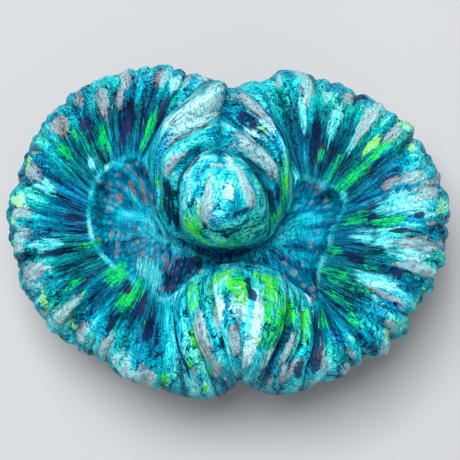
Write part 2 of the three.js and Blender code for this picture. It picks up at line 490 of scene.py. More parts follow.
    def folds(self) -> list[Fold]:
        """The two folds, their creases as places in the list of spokes.

        Returns:
            The back fold and the front fold.
        """
        back_at = len(self.right_back())
        front_at = self.west() + 0.5 + len(self.left_front())
        back = (0, 2, 4, 8, 10, 12)
        front = (-0.5, 0.4, 2, 3.9, 6.6, 7.6, 8.5)
        front_sharp = (-0.5, 0.4, 2, 6.6, 7.6, 8.5)
        shifted = [
            tuple(start + place for place in places)
            for start, places in ((back_at, back), (front_at, front), (front_at, front_sharp))
        ]
        return [
            Fold(shifted[0], shifted[0], (-1, 8, 24)),
            Fold(shifted[1], shifted[2], (2, -15, 22)),
        ]

    def dome(self) -> Dome:
        """The bulb in the middle of the larger fold."""
        back_at = len(self.right_back())
        return Dome(back_at + 4, back_at + 8, (-0.6, 1.2, 39.5))

    def column_places(self, count: int) -> np.ndarray:
        """Places in the list of spokes for every column.

        Each half, back and front, has the same number of columns, spread by the summed lengths of
        the crown's and the rim's rings, so that the two halves meet along the mouth.

        Args:
            count: How many columns go round the colony.

        Returns:
            One place for each column.
        """
        rings = self.rings()
        crown_and_rim = rings[[Spoke._fields.index("crown"), Spoke._fields.index("rim")]]
        halves = []
        for start, end in ((0.0, self.west()), (self.west(), float(rings.shape[1]))):
            fine = np.linspace(start, end, self.fine_steps)
            steps = np.diff(catmull_rom(crown_and_rim, fine % rings.shape[1], True), axis=1)
            lengths = np.concatenate([[0.0], np.cumsum(np.linalg.norm(steps, axis=-1).sum(axis=0))])
            wanted = lengths[-1] * np.arange(count // 2) / (count // 2)
            halves.append(np.interp(wanted, lengths, fine))
        return np.concatenate(halves)

    def knots(self, places: np.ndarray, turns: np.ndarray) -> np.ndarray:
        """The knots of every column, from the mouth to the tuck.

        The pleats push the flank, the crown and the shoulder away from the fold's heart. The mouth
        runs from end to end as (1 - cos turn) / 2. Its Y and its Z sag by a squared sine.

        Args:
            places: The columns' places in the list of spokes.
            turns: The columns' angles round the colony.

        Returns:
            Columns, knots and coordinates.
        """
        wall, flank, crown, shoulder, rim = catmull_rom(self.rings(), places, True)
        for fold in self.folds():
            push = self.pleat * (fold.puff(places) - 0.5)[:, None]
            shares = ((flank, self.flank_share), (crown, 1.0), (shoulder, self.shoulder_share))
            for ring, part in shares:
                away = ring - np.array(fold.heart)
                ring += part * push * away / np.linalg.norm(away, axis=-1, keepdims=True)
        along = (1.0 - np.cos(turns)) / 2.0
        mouth = np.stack(
            [
                self.mouth_right + (self.mouth_left - self.mouth_right) * along,
                self.mouth_back_y - self.mouth_sag * np.sin(np.pi * along) ** 2,
                self.mouth_z + self.mouth_end_rise * np.cos(np.pi * along) ** 2,
            ],
            axis=-1,
        )
        disc = mouth + self.disc_share * (wall - mouth)
        midway = (mouth[:, 2] + wall[:, 2]) / 2.0 + self.disc_bulge
        disc[:, 2] = np.minimum(self.disc_z, midway)
        neck = self.neck.outline(turns)
        lip = rim + self.lip_share * (neck - rim)
        lip[:, 2] = rim[:, 2] - self.lip_drop
        under = rim + self.under_share * (neck - rim)
        under[:, 2] = self.neck.z - self.under_drop
        tuck = self.tuck_scale * neck
        tuck[:, 2] = self.neck.z - self.tuck_drop
        return np.stack([mouth, disc, wall, flank, crown, shoulder, rim, lip, under, tuck], axis=1)


# ---------------------------------------------------------------------------------------------
# Grids that become meshes
# ---------------------------------------------------------------------------------------------


def grid_normals(points: np.ndarray) -> np.ndarray:
    """Unit normals, outwards: the cross product of the steps up a column and round a row.

    Args:
        points: Columns, rows and coordinates, the last column next to the first.

    Returns:
        One vector for each point.
    """
    up = np.gradient(points, axis=1)
    around = np.roll(points, -1, axis=0) - np.roll(points, 1, axis=0)
    normal = np.cross(up, around)
    return normal / np.maximum(np.linalg.norm(normal, axis=-1, keepdims=True), LEAST_LENGTH)


def grid_quads(number: np.ndarray) -> np.ndarray:
    """Four-cornered faces between every two columns that are neighbours.

    Args:
        number: The vertices' numbers, in columns and rows.

    Returns:
        Four vertex numbers for each face.
    """
    after = np.roll(number, -1, axis=0)
    corners = (number[:, :-1], number[:, 1:], after[:, 1:], after[:, :-1])
    return np.stack(corners, axis=-1).reshape(-1, 4)


def ring_fan(ring: np.ndarray, centre: int) -> np.ndarray:
    """Triangles from a closed ring of vertices to the vertex at its centre."""
    return np.stack([ring, np.full(len(ring), centre), np.roll(ring, -1)], axis=-1)


@dataclass
class Sheet:
    """A closed surface on a grid of columns and rows, with values that its material reads.

    Attributes:
        points: The place of each point.
        spread: The spread of each row.
        places: The place of each column in the list of spokes.
        lane: How far round the colony each column is.
        climb: How far up its column from the wall each point is.
        lap: The lane's full length.
    """

    points: np.ndarray
    spread: np.ndarray
    places: np.ndarray
    lane: np.ndarray = field(init=False)
    climb: np.ndarray = field(init=False)
    lap: float = field(init=False)

    def __post_init__(self) -> None:
        """Measures the lane midway between the crown and the rim, and the climb by adding steps."""
        wall = int(np.argmin(np.abs(self.spread)))
        rows = [int(np.argmin(np.abs(self.spread - row.value))) for row in (Row.CROWN, Row.RIM)]
        ring = self.points[:, rows].mean(axis=1)
        steps = np.linalg.norm(np.roll(ring, -1, axis=0) - ring, axis=-1)
        self.lap = float(steps.sum())
        self.lane = np.concatenate([[0.0], np.cumsum(steps)[:-1]])
        rungs = np.linalg.norm(np.diff(self.points, axis=1), axis=-1)
        climb = np.concatenate([np.zeros((len(self.points), 1)), np.cumsum(rungs, axis=1)], axis=1)
        self.climb = climb - climb[:, wall : wall + 1]

    def on_dome(self, dome: Dome) -> np.ndarray:
        """Which points lie on a dome, above the wall."""
        inside = (self.places > dome.start) & (self.places < dome.end)
        return inside[:, None] & (self.spread > dome.edge)[None, :]

    def rib_space(self, dome: Dome) -> np.ndarray:
        """Coordinates for patterns along the ribs: the lane bent into a circle, and the climb.

        On the dome they follow loose arches instead: the distance from the pole, made uneven by
        noise, comes first, and the place in X and in Y come after it.

        Args:
            dome: The bulb whose patterns are arches.

        Returns:
            Three coordinates for each point.
        """
        radius = self.lap / (2.0 * np.pi)
        angle = np.broadcast_to((self.lane / radius)[:, None], self.climb.shape)
        ribs = np.stack([radius * np.cos(angle), radius * np.sin(angle), self.climb], axis=-1)
        reach = np.linalg.norm(self.points - np.array(dome.pole), axis=-1)
        reach += dome.stray * smooth_noise(self.points / dome.stray_size, dome.seed)
        arches = np.stack([reach, 0.7 * self.points[..., 0], 0.9 * self.points[..., 1]], axis=-1)
        return np.where(self.on_dome(dome)[..., None], arches, ribs)

    def flow(self) -> np.ndarray:
        """Coordinates for patterns that stream across the disc into the two corners of the mouth.

        They are the elliptic coordinates whose two foci are the mouth's corners: for a place at the
        distances p and q from the foci, 2 c apart, the cosine of the turn is (p - q) / 2 c and the
        hyperbolic cosine of the reach is (p + q) / 2 c. The turn is bent into a circle.

        Returns:
            Three coordinates for each point.
        """
        left, right = np.array(MOUTH_CORNERS)
        half = np.linalg.norm(right - left) / 2.0
        to_left = np.linalg.norm(self.points[..., :2] - left, axis=-1)
        to_right = np.linalg.norm(self.points[..., :2] - right, axis=-1)
        cosine = np.clip((to_left - to_right) / (2.0 * half), -1.0, 1.0)
        side = np.where(self.points[..., 1] > left[1], 1.0, -1.0)
        sine = side * np.sqrt(1.0 - cosine**2)
        reach = np.arccosh(np.maximum((to_left + to_right) / (2.0 * half), 1.0))
        return half * np.stack([cosine, sine, reach], axis=-1)

    def normals(self) -> np.ndarray:
        """The unit normals, outwards."""
        return grid_normals(self.points)

    def nearness(self, places: list[float], width: float) -> np.ndarray:
        """How near each column is to the columns at some places: exp(-(distance / width)^2).

        Args:
            places: Places in the list of spokes.
            width: The distance along the lane at which the value has fallen to 0.37.

        Returns:
            One value from 0 to 1 for each column.
        """
        near = np.zeros(self.lane.shape)
        for lane in np.interp(places, self.places, self.lane):
            away = (self.lane - lane + self.lap / 2.0) % self.lap - self.lap / 2.0
            near = np.maximum(near, np.exp(-((away / width) ** 2)))
        return near

    def crowding(self) -> np.ndarray:
        """How close the columns are at each point, as a share of their spacing along the lane.

        Returns:
            One value for each point, under 1 where the columns crowd together.
        """
        around = np.roll(self.points, -1, axis=0) - np.roll(self.points, 1, axis=0)
        lanes = np.abs((np.roll(self.lane, -1) - np.roll(self.lane, 1)) % self.lap)
        return np.linalg.norm(around, axis=-1) / lanes[:, None]


# ---------------------------------------------------------------------------------------------
# Markings placed one by one
# ---------------------------------------------------------------------------------------------


class Patch(NamedTuple):
    """A marking: its place from above and its half sizes across and along the ribs."""

    x: float
    y: float
    across: float
    along: float


class Marking(Enum):
    """The kinds of marking, each with its patches as x, y, across and along."""

    NEON = (
        (-21.2, 14.5, 0.8, 2.6), (-22, 12, 0.35, 2.6), (-25.8, 15.8, 0.6, 0.9),
        (-27.5, 13, 0.6, 1.4), (-13.4, 16.5, 0.4, 3.6), (-18.7, -7.2, 1.2, 2.2),
        (-15.4, -10.1, 0.9, 2.4), (-17.2, -11.8, 1.2, 1.6), (-23.4, -2.7, 0.5, 3),
        (20.9, 2, 1, 1.9), (26.2, 1.3, 0.7, 2.8), (20.8, 9, 0.9, 4), (23.8, 12.1, 0.6, 3),
        (18, -7.8, 1, 2.2), (21.5, -9.8, 0.6, 1.6), (17.9, -11.2, 0.5, 2.6),
        (20.6, -15, 0.9, 1.6), (23.3, -6, 0.6, 1), (17, -3.6, 0.9, 1.3), (15, 12.5, 0.5, 1.2),
        (17.5, 10.5, 0.4, 2.2), (0.4, -2.6, 2.2, 1.5), (-6.6, 0.6, 1.6, 2.8), (-4, -2, 1, 0.8),
        (-12, 7.6, 0.8, 1), (-11.4, 5, 0.7, 0.7), (9.5, 8, 1.6, 4), (8.4, 3.2, 1.2, 2),
        (6.3, -8.6, 2, 2.2), (7.8, -13, 1.8, 5.5), (1.1, -9.2, 1.5, 3.4), (-1.8, -7.6, 1.8, 1.7),
        (-6.4, -10.8, 1.1, 3.4), (-5.8, -19, 0.4, 2.4), (-3.4, -24, 0.5, 1.2),
        (-6.5, -22.5, 0.4, 1.2), (-4.2, -26.4, 0.6, 0.9), (-10.9, -25, 0.7, 1.6),
        (10, -13.5, 0.9, 2.6), (12.5, -15.5, 0.6, 3.4), (15.5, -14.5, 0.4, 1.8),
        (-14, 16.5, 0.3, 2.6), (-26, -9, 0.6, 1.6),
    )
    LEMON = (
        (-34, 11.2, 1, 1.2), (-35, 4.8, 1.1, 1.4), (-31.3, -11.6, 1.1, 1.2),
        (-26.8, -16.4, 0.8, 1.2), (29.1, 17, 1.3, 1.3), (30.7, 14.2, 0.8, 1),
        (-5.4, 4.1, 0.6, 1.4), (4.5, -15.5, 0.4, 1), (4.7, -18.5, 0.4, 1), (35.5, 4, 1.2, 1.2),
        (-35.8, 1.5, 0.6, 0.8), (26.5, -17.5, 0.8, 1.4), (23.5, 14, 0.6, 2), (5, 17, 0.5, 0.8),
    )
    # Dark streaks of the flesh's own, and painted shadow on the flanks beside the dome.
    DARK = (
        (-16.9, 18.8, 1.3, 3.2), (-17.6, 16.8, 0.9, 2.4), (-24, 17.8, 0.9, 1.3),
        (-23.4, 15.2, 0.6, 1), (-11.7, 19, 0.5, 3), (14.4, 16.5, 0.8, 1.6), (14.8, 13, 0.8, 2),
        (8.1, 17.2, 0.4, 4), (2.2, 18.6, 1.2, 1.3), (3.6, 17.3, 0.8, 0.9), (3.4, 11.3, 0.35, 2.6),
        (5.4, 8.4, 0.4, 2), (6.8, 4.8, 1, 2.3), (8.2, 6.1, 0.6, 1.5), (7.4, 3.2, 0.7, 1.8),
        (-10.4, 6.4, 1.4, 2.4), (-10, 3.2, 1.8, 2.6), (-9, 1.2, 0.8, 2), (0.9, -0.3, 0.9, 0.8),
        (2.6, 1.2, 0.9, 0.5), (1.5, 2.8, 1.4, 0.45), (3.4, 0, 0.9, 0.5), (-4.4, 0.6, 0.5, 1.1),
        (-2.2, -0.4, 1.1, 0.5), (-6.2, 4.6, 0.4, 1.4), (3, -9.2, 0.8, 2),
        (-13.3, -16.3, 0.8, 2.2), (-15, -12.7, 1, 2.6), (-17, -10.3, 0.6, 1.1),
        (14.4, -18.2, 1, 5.5), (11.4, -23.2, 0.7, 1.8), (27.8, -7, 0.7, 1.2), (21, -5, 0.6, 1.3),
        (-27.7, -3.6, 0.6, 3.2), (-25.6, 2, 0.45, 1.6), (14.2, -8.3, 1.2, 1.2),
        (-7.6, -6.8, 3.2, 2.6), (-9.6, -9, 1.6, 2.2), (23.4, 2.2, 0.6, 0.8), (-9.2, -17, 0.35, 4),
        (-7.2, -23, 0.35, 2.6), (23.5, 10.5, 0.5, 1.8), (-6, -4.8, 3, 0.8),
        (-5.4, 11.3, 0.3, 1.8), (-19.5, -15.5, 0.6, 2), (31.5, 2.5, 0.5, 0.8),
    )
    PALE = (
        (-21.2, 22, 0.9, 2.8), (-25.6, 22.2, 0.8, 1.8), (-28.8, 17.7, 1.3, 2.1),
        (-17.2, 25, 0.8, 1.8), (-11.7, 25.5, 1.1, 1.7), (-33.4, 10, 1.1, 1.8),
        (-34.7, 2.9, 1, 1.8), (-35, -0.8, 1.1, 1.8), (-32.9, -7, 1.1, 2.6),
        (-27.6, -13.8, 0.9, 3.2), (-25, -17.7, 0.9, 2.8), (-20.7, -19.8, 0.8, 2.8),
        (-16.9, -23.4, 0.9, 1.8), (-13.4, -24.5, 0.8, 2.2), (12.9, 24, 1, 3.5), (20, 23, 0.9, 3),
        (23.2, 18.4, 0.9, 4), (27, 15.7, 0.7, 2), (33.4, 7, 1.4, 2.2), (26.6, 8, 0.7, 1.3),
        (32, -2.2, 1, 4), (32, -6.5, 1, 3.8), (25.6, -19.4, 1, 1.8), (26.2, -11, 0.4, 3),
        (19, -22.8, 0.8, 1.6), (30, 9, 0.8, 2), (-3.8, 4.5, 0.9, 4), (2.6, 7.4, 0.9, 3),
        (-5.5, 11.5, 0.6, 3), (-7.4, 15.9, 0.7, 3.4), (-9.7, 11.2, 0.7, 2.6), (5, 12.9, 1.3, 4.4),
        (4.4, 20.5, 0.8, 3.4), (8, 25, 0.6, 1.6), (2.4, -21.6, 0.5, 1.6), (9.6, -20, 0.5, 3),
        (-14.5, 6.4, 0.36, 2), (-16.2, 6.8, 0.3, 1.4), (-18.4, 5.2, 0.4, 0.7),
        (-19.8, -0.8, 0.4, 0.6), (-9.4, -6.8, 0.5, 0.5), (-9.6, -9.4, 0.5, 0.7),
        (-4.6, -18, 1.1, 3.6), (-2.2, -22.8, 0.9, 1.8), (0.6, -18.8, 0.8, 2.5),
        (8.9, -23.8, 0.9, 2), (15.5, -21, 0.5, 3), (-18.5, 22, 0.6, 2),
    )
    FROST = (
        (-4.5, 21, 4, 5), (-5, 25.5, 2.4, 1.6), (-13.2, -7.3, 2.2, 2.4), (3, 16, 1.2, 1),
        (-7.5, 18, 1.6, 3), (4.6, -14.5, 0.9, 5), (3.4, -20, 0.8, 3), (-0.2, 6.8, 0.8, 1.4),
        (1.2, -12, 1.4, 3), (27.5, 4.5, 1.5, 3), (-23, 11, 0.5, 0.9), (16.5, 23, 0.7, 1.6),
        (-18, -22, 1.2, 2.4), (31, 9, 1.2, 2), (30, -4, 1, 3), (-9, 24.5, 1.2, 1.6),
        (-2, -13, 1, 2.4), (0, 11.8, 1, 1), (13, -11.5, 0.8, 0.8), (18.8, 6, 0.6, 0.8),
        (-30, -2.5, 1, 2), (-31, 7.5, 1, 2), (26, -1, 1.4, 4), (24.5, -8.5, 1, 3),
        (30, 4.5, 1.4, 3), (17.5, 18, 0.7, 3), (12.2, 19, 0.5, 3), (21, 15.5, 0.6, 3),
    )
    AZURE = (
        (-11.3, 14, 1.8, 4.5), (-12.2, 9, 1.2, 3), (9, 13, 1.3, 4.5), (5.6, 18, 1.2, 2.4),
        (3, 15.6, 1.8, 1.6), (-3, 2.5, 1, 1.6), (22, 5.5, 1, 1.6), (12, -8, 1.4, 1.2),
        (-15, -4, 1.8, 1.8), (18, -19, 1, 2.4), (-26, 6, 1, 3), (28, -13, 0.8, 2.4),
    )
    JADE = (
        (-2, -9, 3.4, 3), (7.5, -12, 2.4, 6), (11.5, -14, 1.4, 5), (-6, 1, 2, 3),
        (3.6, 0.5, 2.6, 3), (-1, -1, 4, 2), (5.6, 6, 1.4, 3), (19, 10, 3, 5), (19, -9, 3, 4),
        (-26, 13, 3, 4), (-17, -12, 2, 4), (-24, -6, 2, 4), (-33, 6, 1.6, 3), (-30, -12, 2, 3),
        (28, 15, 2, 3), (-6, -21, 1.4, 3), (-10, 21, 1.4, 4), (9, 21, 1.6, 4), (17, 19, 3, 5),
        (23, 17, 2, 4), (-21, 19, 2, 4), (-27, -13, 2, 4),
    )


@dataclass(frozen=True)
class Viewpoint:
    """Where the colony is looked at from: over its front edge, leaning back from straight above."""

    lean: float = math.radians(8.5)
    target_z: float = 20.0
    distance: float = 241.7

    def back(self) -> np.ndarray:
        """The unit vector from the target to the eye."""
        return np.array([0.0, -math.sin(self.lean), math.cos(self.lean)])

    def seen(self, points: np.ndarray) -> np.ndarray:
        """Where points are seen, in millimetres on the plane through the target.

        The point less the target is split along the eye's right, up and back directions, and the
        first two are scaled by distance / (distance - back).

        Args:
            points: Places in the colony's frame.

        Returns:
            Two coordinates for each point.
        """
        away = points - np.array([0.0, 0.0, self.target_z])
        up = np.array([0.0, math.cos(self.lean), math.sin(self.lean)])
        scale = self.distance / (self.distance - away @ self.back())
        return np.stack([away[..., 0] * scale, (away @ up) * scale], axis=-1)


@dataclass(frozen=True)
class Painter:
    """Turns the listed patches into soft masks on a sheet."""

    view: Viewpoint = Viewpoint()
    height_pull: float = 0.03
    swell: float = 1.2
    hidden_penalty: float = 3.0
    least_facing: float = 0.15
    reach: float = 1.5

    def masks(self, sheet: Sheet) -> dict[Marking, np.ndarray]:
        """One mask for each kind of marking.

        A patch starts at the visible point nearest to its place. Its distance q is the root of
        (lane / across)^2 + (climb / along)^2, and the mask is the reach of 1.5 less q, kept from 0
        to 1, so that it passes one half at the patch's edge.

        Args:
            sheet: The flesh's plain form.

        Returns:
            The masks, each with the sheet's columns and rows.
        """
        seen = self.view.seen(sheet.points)
        facing = sheet.normals() @ self.view.back()
        hidden = np.where(facing < self.least_facing, self.hidden_penalty, 0.0)
        handicap = hidden - self.height_pull * sheet.points[..., 2]
        crowding = sheet.crowding()
        masks = {}
        for marking in Marking:
            mask = np.zeros(sheet.climb.shape)
            for patch in starmap(Patch, marking.value):
                away = np.hypot(seen[..., 0] - patch.x, seen[..., 1] - patch.y) + handicap
                column, row = np.unravel_index(int(np.argmin(away)), away.shape)
                lane = sheet.lane - sheet.lane[column]
                lane = (lane + sheet.lap / 2.0) % sheet.lap - sheet.lap / 2.0
                across = lane[:, None] * crowding[column, row] / (self.swell * patch.across)
                along = (sheet.climb - sheet.climb[column, row]) / (self.swell * patch.along)
                near = np.clip(self.reach - np.hypot(across, along), 0.0, 1.0)
                mask = np.maximum(mask, near)
            masks[marking] = mask
        return masks


# ---------------------------------------------------------------------------------------------
# Relief
# ---------------------------------------------------------------------------------------------


@dataclass(frozen=True)
class FleshRelief:
    """The ribs, ruffles, beads and wrinkles of the flesh, as heights along its normals."""

    rib_width: float = 2.3
    rib_length: float = 13.0
    rib_height: float = 1.7
    fine_width: float = 0.8
    fine_length: float = 4.5
    fine_height: float = 0.5
    lump_size: float = 2.4
    lump_height: float = 0.6
    crinkle_width: float = 0.9
    crinkle_length: float = 0.6
    crinkle_height: float = 0.12
    ruffle_size: float = 9.0
    ruffle_height: float = 1.0
    stray_size: float = 5.0
    stray: float = 0.5
    bead_width: float = 1.1
    bead_length: float = 1.3
    bead_height: float = 0.45
    ridge_width: float = 1.0
    wart_size: float = 0.95
    wart_height: float = 0.22
    wart_groups: float = 4.0
    disc_fold_width: float = 1.1
    disc_fold_length: float = 5.0
    disc_fold_height: float = 0.45
    pale_swell: float = 0.45
    crease_depth: float = 0.8
    roomy: float = 0.8
    least_room: float = 0.12
    fold_calm: float = 0.75
    dome_room: float = 0.32
    seam_press: float = 0.45
    level: float = 0.6
    bead_level: float = 0.2
    seed: int = 11

    def drawn(self, space: np.ndarray, width: float, length: float, pattern: int) -> np.ndarray:
        """Lumps of a width, drawn out to a length along the climb; each pattern has a number."""
        return lumps(space / np.array([width, width, length]), self.seed + pattern)

    def mantle(
        self, sheet: Sheet, dome: Dome, pale: np.ndarray, creases: np.ndarray, folded: np.ndarray
    ) -> tuple[np.ndarray, np.ndarray]:
        """The relief of the mantle and of the wall.

        Ribs are lumps stretched along the climb, wide ones and fine ones added up, and they deepen
        from the wall to the rim. Rounded lumps swell near the rim, and the wall carries a row of
        beads. Where the two sides of a fold meet, both are pressed together.

        Args:
            sheet: The flesh's plain form.
            dome: The bulb whose patterns are arches.
            pale: The mask of the pale, swollen ribs.
            creases: How near each point is to a crease between two pleats.
            folded: How far each column belongs to a fold, whose pleats are smoother.

        Returns:
            Heights in millimetres, and the ribs' crests from 0 to 1, lowered in the creases
            for the material's painted shade there.
        """
        space, spread = sheet.rib_space(dome), sheet.spread
        stray = self.stray * smooth_noise(space / self.stray_size, self.seed)[..., None]
        bent = space + stray * np.array([1.0, 1.0, 0.0])
        rib = self.drawn(bent, self.rib_width, self.rib_length, 1)
        fine = self.drawn(bent, self.fine_width, self.fine_length, 2)
        lump = lumps(space / self.lump_size, self.seed + 3)
        ruffle = smooth_noise(space / self.ruffle_size, self.seed + 4)
        bead = self.drawn(space, self.bead_width, self.bead_length, 5)
        crinkle = self.drawn(space, self.crinkle_width, self.crinkle_length, 8)

        room = np.clip(sheet.crowding() / self.roomy, self.least_room, 1.0)
        calm = 1.0 - self.fold_calm * folded[:, None]
        room = np.where(sheet.on_dome(dome), self.dome_room, room * calm)
        outer = rise(spread, 0.15, 0.95)
        ribs = self.rib_height * (0.5 + 0.5 * outer) * (rib - self.level)
        ribs += self.fine_height * (fine - self.level)
        ribs *= room
        ribs += room * self.lump_height * rise(spread, 0.55, 1.0) * (lump - self.level)
        ribs += self.crinkle_height * rise(spread, 0.3, 0.8) * (crinkle - self.level)
        ribs += self.pale_swell * rise(pale, 0.25, 0.8)
        ribs += self.ruffle_height * rise(spread, 0.3, 1.0) * ruffle * room
        creased = creases * rise(spread, 0.05, 0.2) * (1.0 - rise(spread, 0.6, 0.95))
        ribs -= self.crease_depth * creased
        mantle = rise(spread, 0.0, 0.25) * (1.0 - rise(spread, 1.25, 1.9))
        pressed = rise(spread, 0.85, 1.0) * (1.0 - rise(spread, 1.2, 1.5))
        height = mantle * ribs + self.seam_press * folded[:, None] * pressed
        ridge = np.exp(-((sheet.climb / self.ridge_width) ** 2))
        height += self.bead_height * ridge * (bead - self.bead_level)
        # The crests are lowered in the creases, which the material darkens as painted shade.
        return height, (0.5 * rib + 0.5 * fine) * (1.0 - 0.8 * creases)

    def disc(self, sheet: Sheet) -> tuple[np.ndarray, np.ndarray]:
        """The relief of the disc: warts in groups, and fine folds that run to the mouth.

        The warts are beads, kept where a wide noise is high. The folds are lumps drawn out along
        the streams into the mouth.

        Args:
            sheet: The flesh's plain form.

        Returns:
            Heights in millimetres, and the warts and folds on their own, from 0 to 1.
        """
        inner = rise(-sheet.spread, 0.03, 0.12) * (1.0 - rise(-sheet.spread, 0.75, 1.0))
        warts = beads(sheet.points[..., :2] / self.wart_size, self.seed + 6)
        groups = smooth_noise(sheet.points[..., :2] / self.wart_groups, self.seed + 7)
        warts = warts * rise(groups, -0.35, 0.15)
        folds = self.drawn(sheet.flow(), self.disc_fold_width, self.disc_fold_length, 9)
        height = self.wart_height * warts + self.disc_fold_height * (folds - self.level)
        return inner * height, 0.5 * warts + 0.5 * folds

    def heights(
        self, sheet: Sheet, dome: Dome, pale: np.ndarray, creases: np.ndarray, folded: np.ndarray
    ) -> tuple[np.ndarray, np.ndarray]:
        """The whole relief, level along the mouth, and its fine part on its own.

        The mantle's heights and the disc's are added up, and the mouth's row is set to 0.

        Args:
            sheet: The flesh's plain form.
            dome: The bulb whose patterns are arches.
            pale: The mask of the pale, swollen ribs.
            creases: How near each point is to a crease between two pleats.
            folded: How far each column belongs to a fold, whose pleats are smoother.

        Returns:
            Heights in millimetres, and the fine part from 0 to 1.
        """
        mantle, crest = self.mantle(sheet, dome, pale, creases, folded)
        disc, fine = self.disc(sheet)
        height = mantle + disc
        height[:, 0] = 0.0
        return height, np.where(sheet.spread > 0, crest, fine)


# ---------------------------------------------------------------------------------------------
# Materials
# ---------------------------------------------------------------------------------------------


def srgb(red: float, green: float, blue: float) -> Colour:
    """A screen's colour as the linear values that a shader takes.

    Args:
        red: From 0 to 255, like the others.
        green: The green part.
        blue: The blue part.

    Returns:
        Red, green, blue and a full alpha, from 0 to 1.
    """
    linear = [
        value / 12.92 if value <= 0.04045 else ((value + 0.055) / 1.055) ** 2.4
        for value in (red / 255.0, green / 255.0, blue / 255.0)
    ]
    return (linear[0], linear[1], linear[2], 1.0)


class Hue(Enum):
    """The colony's colours."""

    ABYSS = srgb(2, 24, 48)
    NIGHT = srgb(8, 16, 46)
    NAVY = srgb(10, 34, 84)
    INK = srgb(2, 46, 76)
    DEEP = srgb(0, 76, 108)
    TEAL = srgb(0, 104, 136)
    SEA = srgb(0, 130, 158)
    CYAN = srgb(0, 164, 188)
    TURQUOISE = srgb(8, 192, 202)
    AQUA = srgb(58, 212, 218)
    ICE = srgb(98, 220, 226)
    FOAM = srgb(152, 233, 238)
    SNOW = srgb(212, 250, 248)
    COBALT = srgb(0, 102, 148)
    AZURE = srgb(0, 162, 212)
    SKY = srgb(76, 206, 238)
    PINE = srgb(0, 66, 80)
    FERN = srgb(0, 124, 122)
    JADE = srgb(0, 178, 152)
    MINT = srgb(92, 222, 196)
    MILK = srgb(176, 242, 224)
    PLUM = srgb(42, 34, 66)
    BROWN = srgb(104, 80, 74)
    TAN = srgb(150, 132, 118)
    ROSE = srgb(140, 134, 140)
    LILAC = srgb(140, 174, 184)
    SHELL = srgb(162, 200, 204)
    GREEN = srgb(0, 198, 92)
    NEON = srgb(30, 232, 48)
    LIME = srgb(112, 244, 56)
    LEMON = srgb(166, 234, 84)
    CHALK = srgb(214, 206, 186)
    SAND = srgb(168, 152, 126)
    MOSS = srgb(118, 128, 96)
    CORALLINE = srgb(160, 112, 128)
    PALE_FLOOR = srgb(176, 178, 181)


CYANS = [
    (0.0, Hue.ABYSS), (0.1, Hue.INK), (0.2, Hue.DEEP), (0.32, Hue.TEAL), (0.43, Hue.SEA),
    (0.54, Hue.CYAN), (0.66, Hue.TURQUOISE), (0.77, Hue.AQUA), (0.88, Hue.ICE), (1.0, Hue.FOAM),
]
BLUES = [
    (0.0, Hue.ABYSS), (0.12, Hue.NAVY), (0.3, Hue.COBALT), (0.52, Hue.AZURE), (0.76, Hue.SKY),
    (1.0, Hue.FOAM),
]
GREENS = [
    (0.0, Hue.ABYSS), (0.18, Hue.PINE), (0.36, Hue.FERN), (0.56, Hue.JADE), (0.76, Hue.MINT),
    (0.95, Hue.MILK),
]
PALES = [
    (0.0, Hue.PLUM), (0.12, Hue.BROWN), (0.22, Hue.TAN), (0.33, Hue.ROSE), (0.47, Hue.LILAC),
    (0.72, Hue.SHELL), (1.0, Hue.FOAM),
]
ICES = [
    (0.0, Hue.DEEP), (0.12, Hue.SEA), (0.24, Hue.TURQUOISE), (0.36, Hue.AQUA), (0.5, Hue.ICE),
    (0.7, Hue.FOAM), (1.0, Hue.SNOW),
]
LEMONS = [
    (0.0, Hue.PINE), (0.18, Hue.JADE), (0.3, Hue.NEON), (0.45, Hue.LEMON), (0.85, Hue.MILK),
]
NEONS = [
    (0.0, Hue.ABYSS), (0.12, Hue.PINE), (0.24, Hue.FERN), (0.38, Hue.GREEN), (0.56, Hue.NEON),
    (0.9, Hue.LIME),
]
NIGHTS = [(0.4, Hue.NIGHT), (0.5, Hue.NAVY), (0.62, Hue.PLUM)]
BEADS = [(0.36, Hue.SEA), (0.52, Hue.TURQUOISE), (0.62, Hue.ICE), (0.7, Hue.FOAM)]
WARTS = [(0.38, Hue.BROWN), (0.5, Hue.ROSE), (0.62, Hue.LILAC)]
UNDERS = [(0.3, Hue.DEEP), (0.5, Hue.ROSE), (0.7, Hue.SAND)]
STONES = [(0.25, Hue.MOSS), (0.42, Hue.SAND), (0.65, Hue.CHALK), (0.9, Hue.CHALK)]


class Growth(NamedTuple):
    """How a marking's own streaks grow, where noise of a scale passes from low to high.

    They grow from one spread to another, at a strength. The bite is how deep strands are cut out
    of the whole marking.
    """

    scale: float
    low: float
    high: float
    start: float
    end: float
    bite: float
    strength: float = 1.0


GROWTHS = {
    Marking.FROST: Growth(0.31, low=0.6, high=0.76, start=0.6, end=1.1, bite=0.25, strength=0.75),
    Marking.PALE: Growth(0.37, low=0.6, high=0.74, start=0.8, end=1.2, bite=0.12),
    Marking.DARK: Growth(0.43, low=0.66, high=0.78, start=0.1, end=0.75, bite=0.3),
    Marking.LEMON: Growth(0.53, low=0.68, high=0.8, start=0.85, end=1.1, bite=0.2),
    Marking.NEON: Growth(0.61, low=0.68, high=0.78, start=0.06, end=0.5, bite=0.35),
}


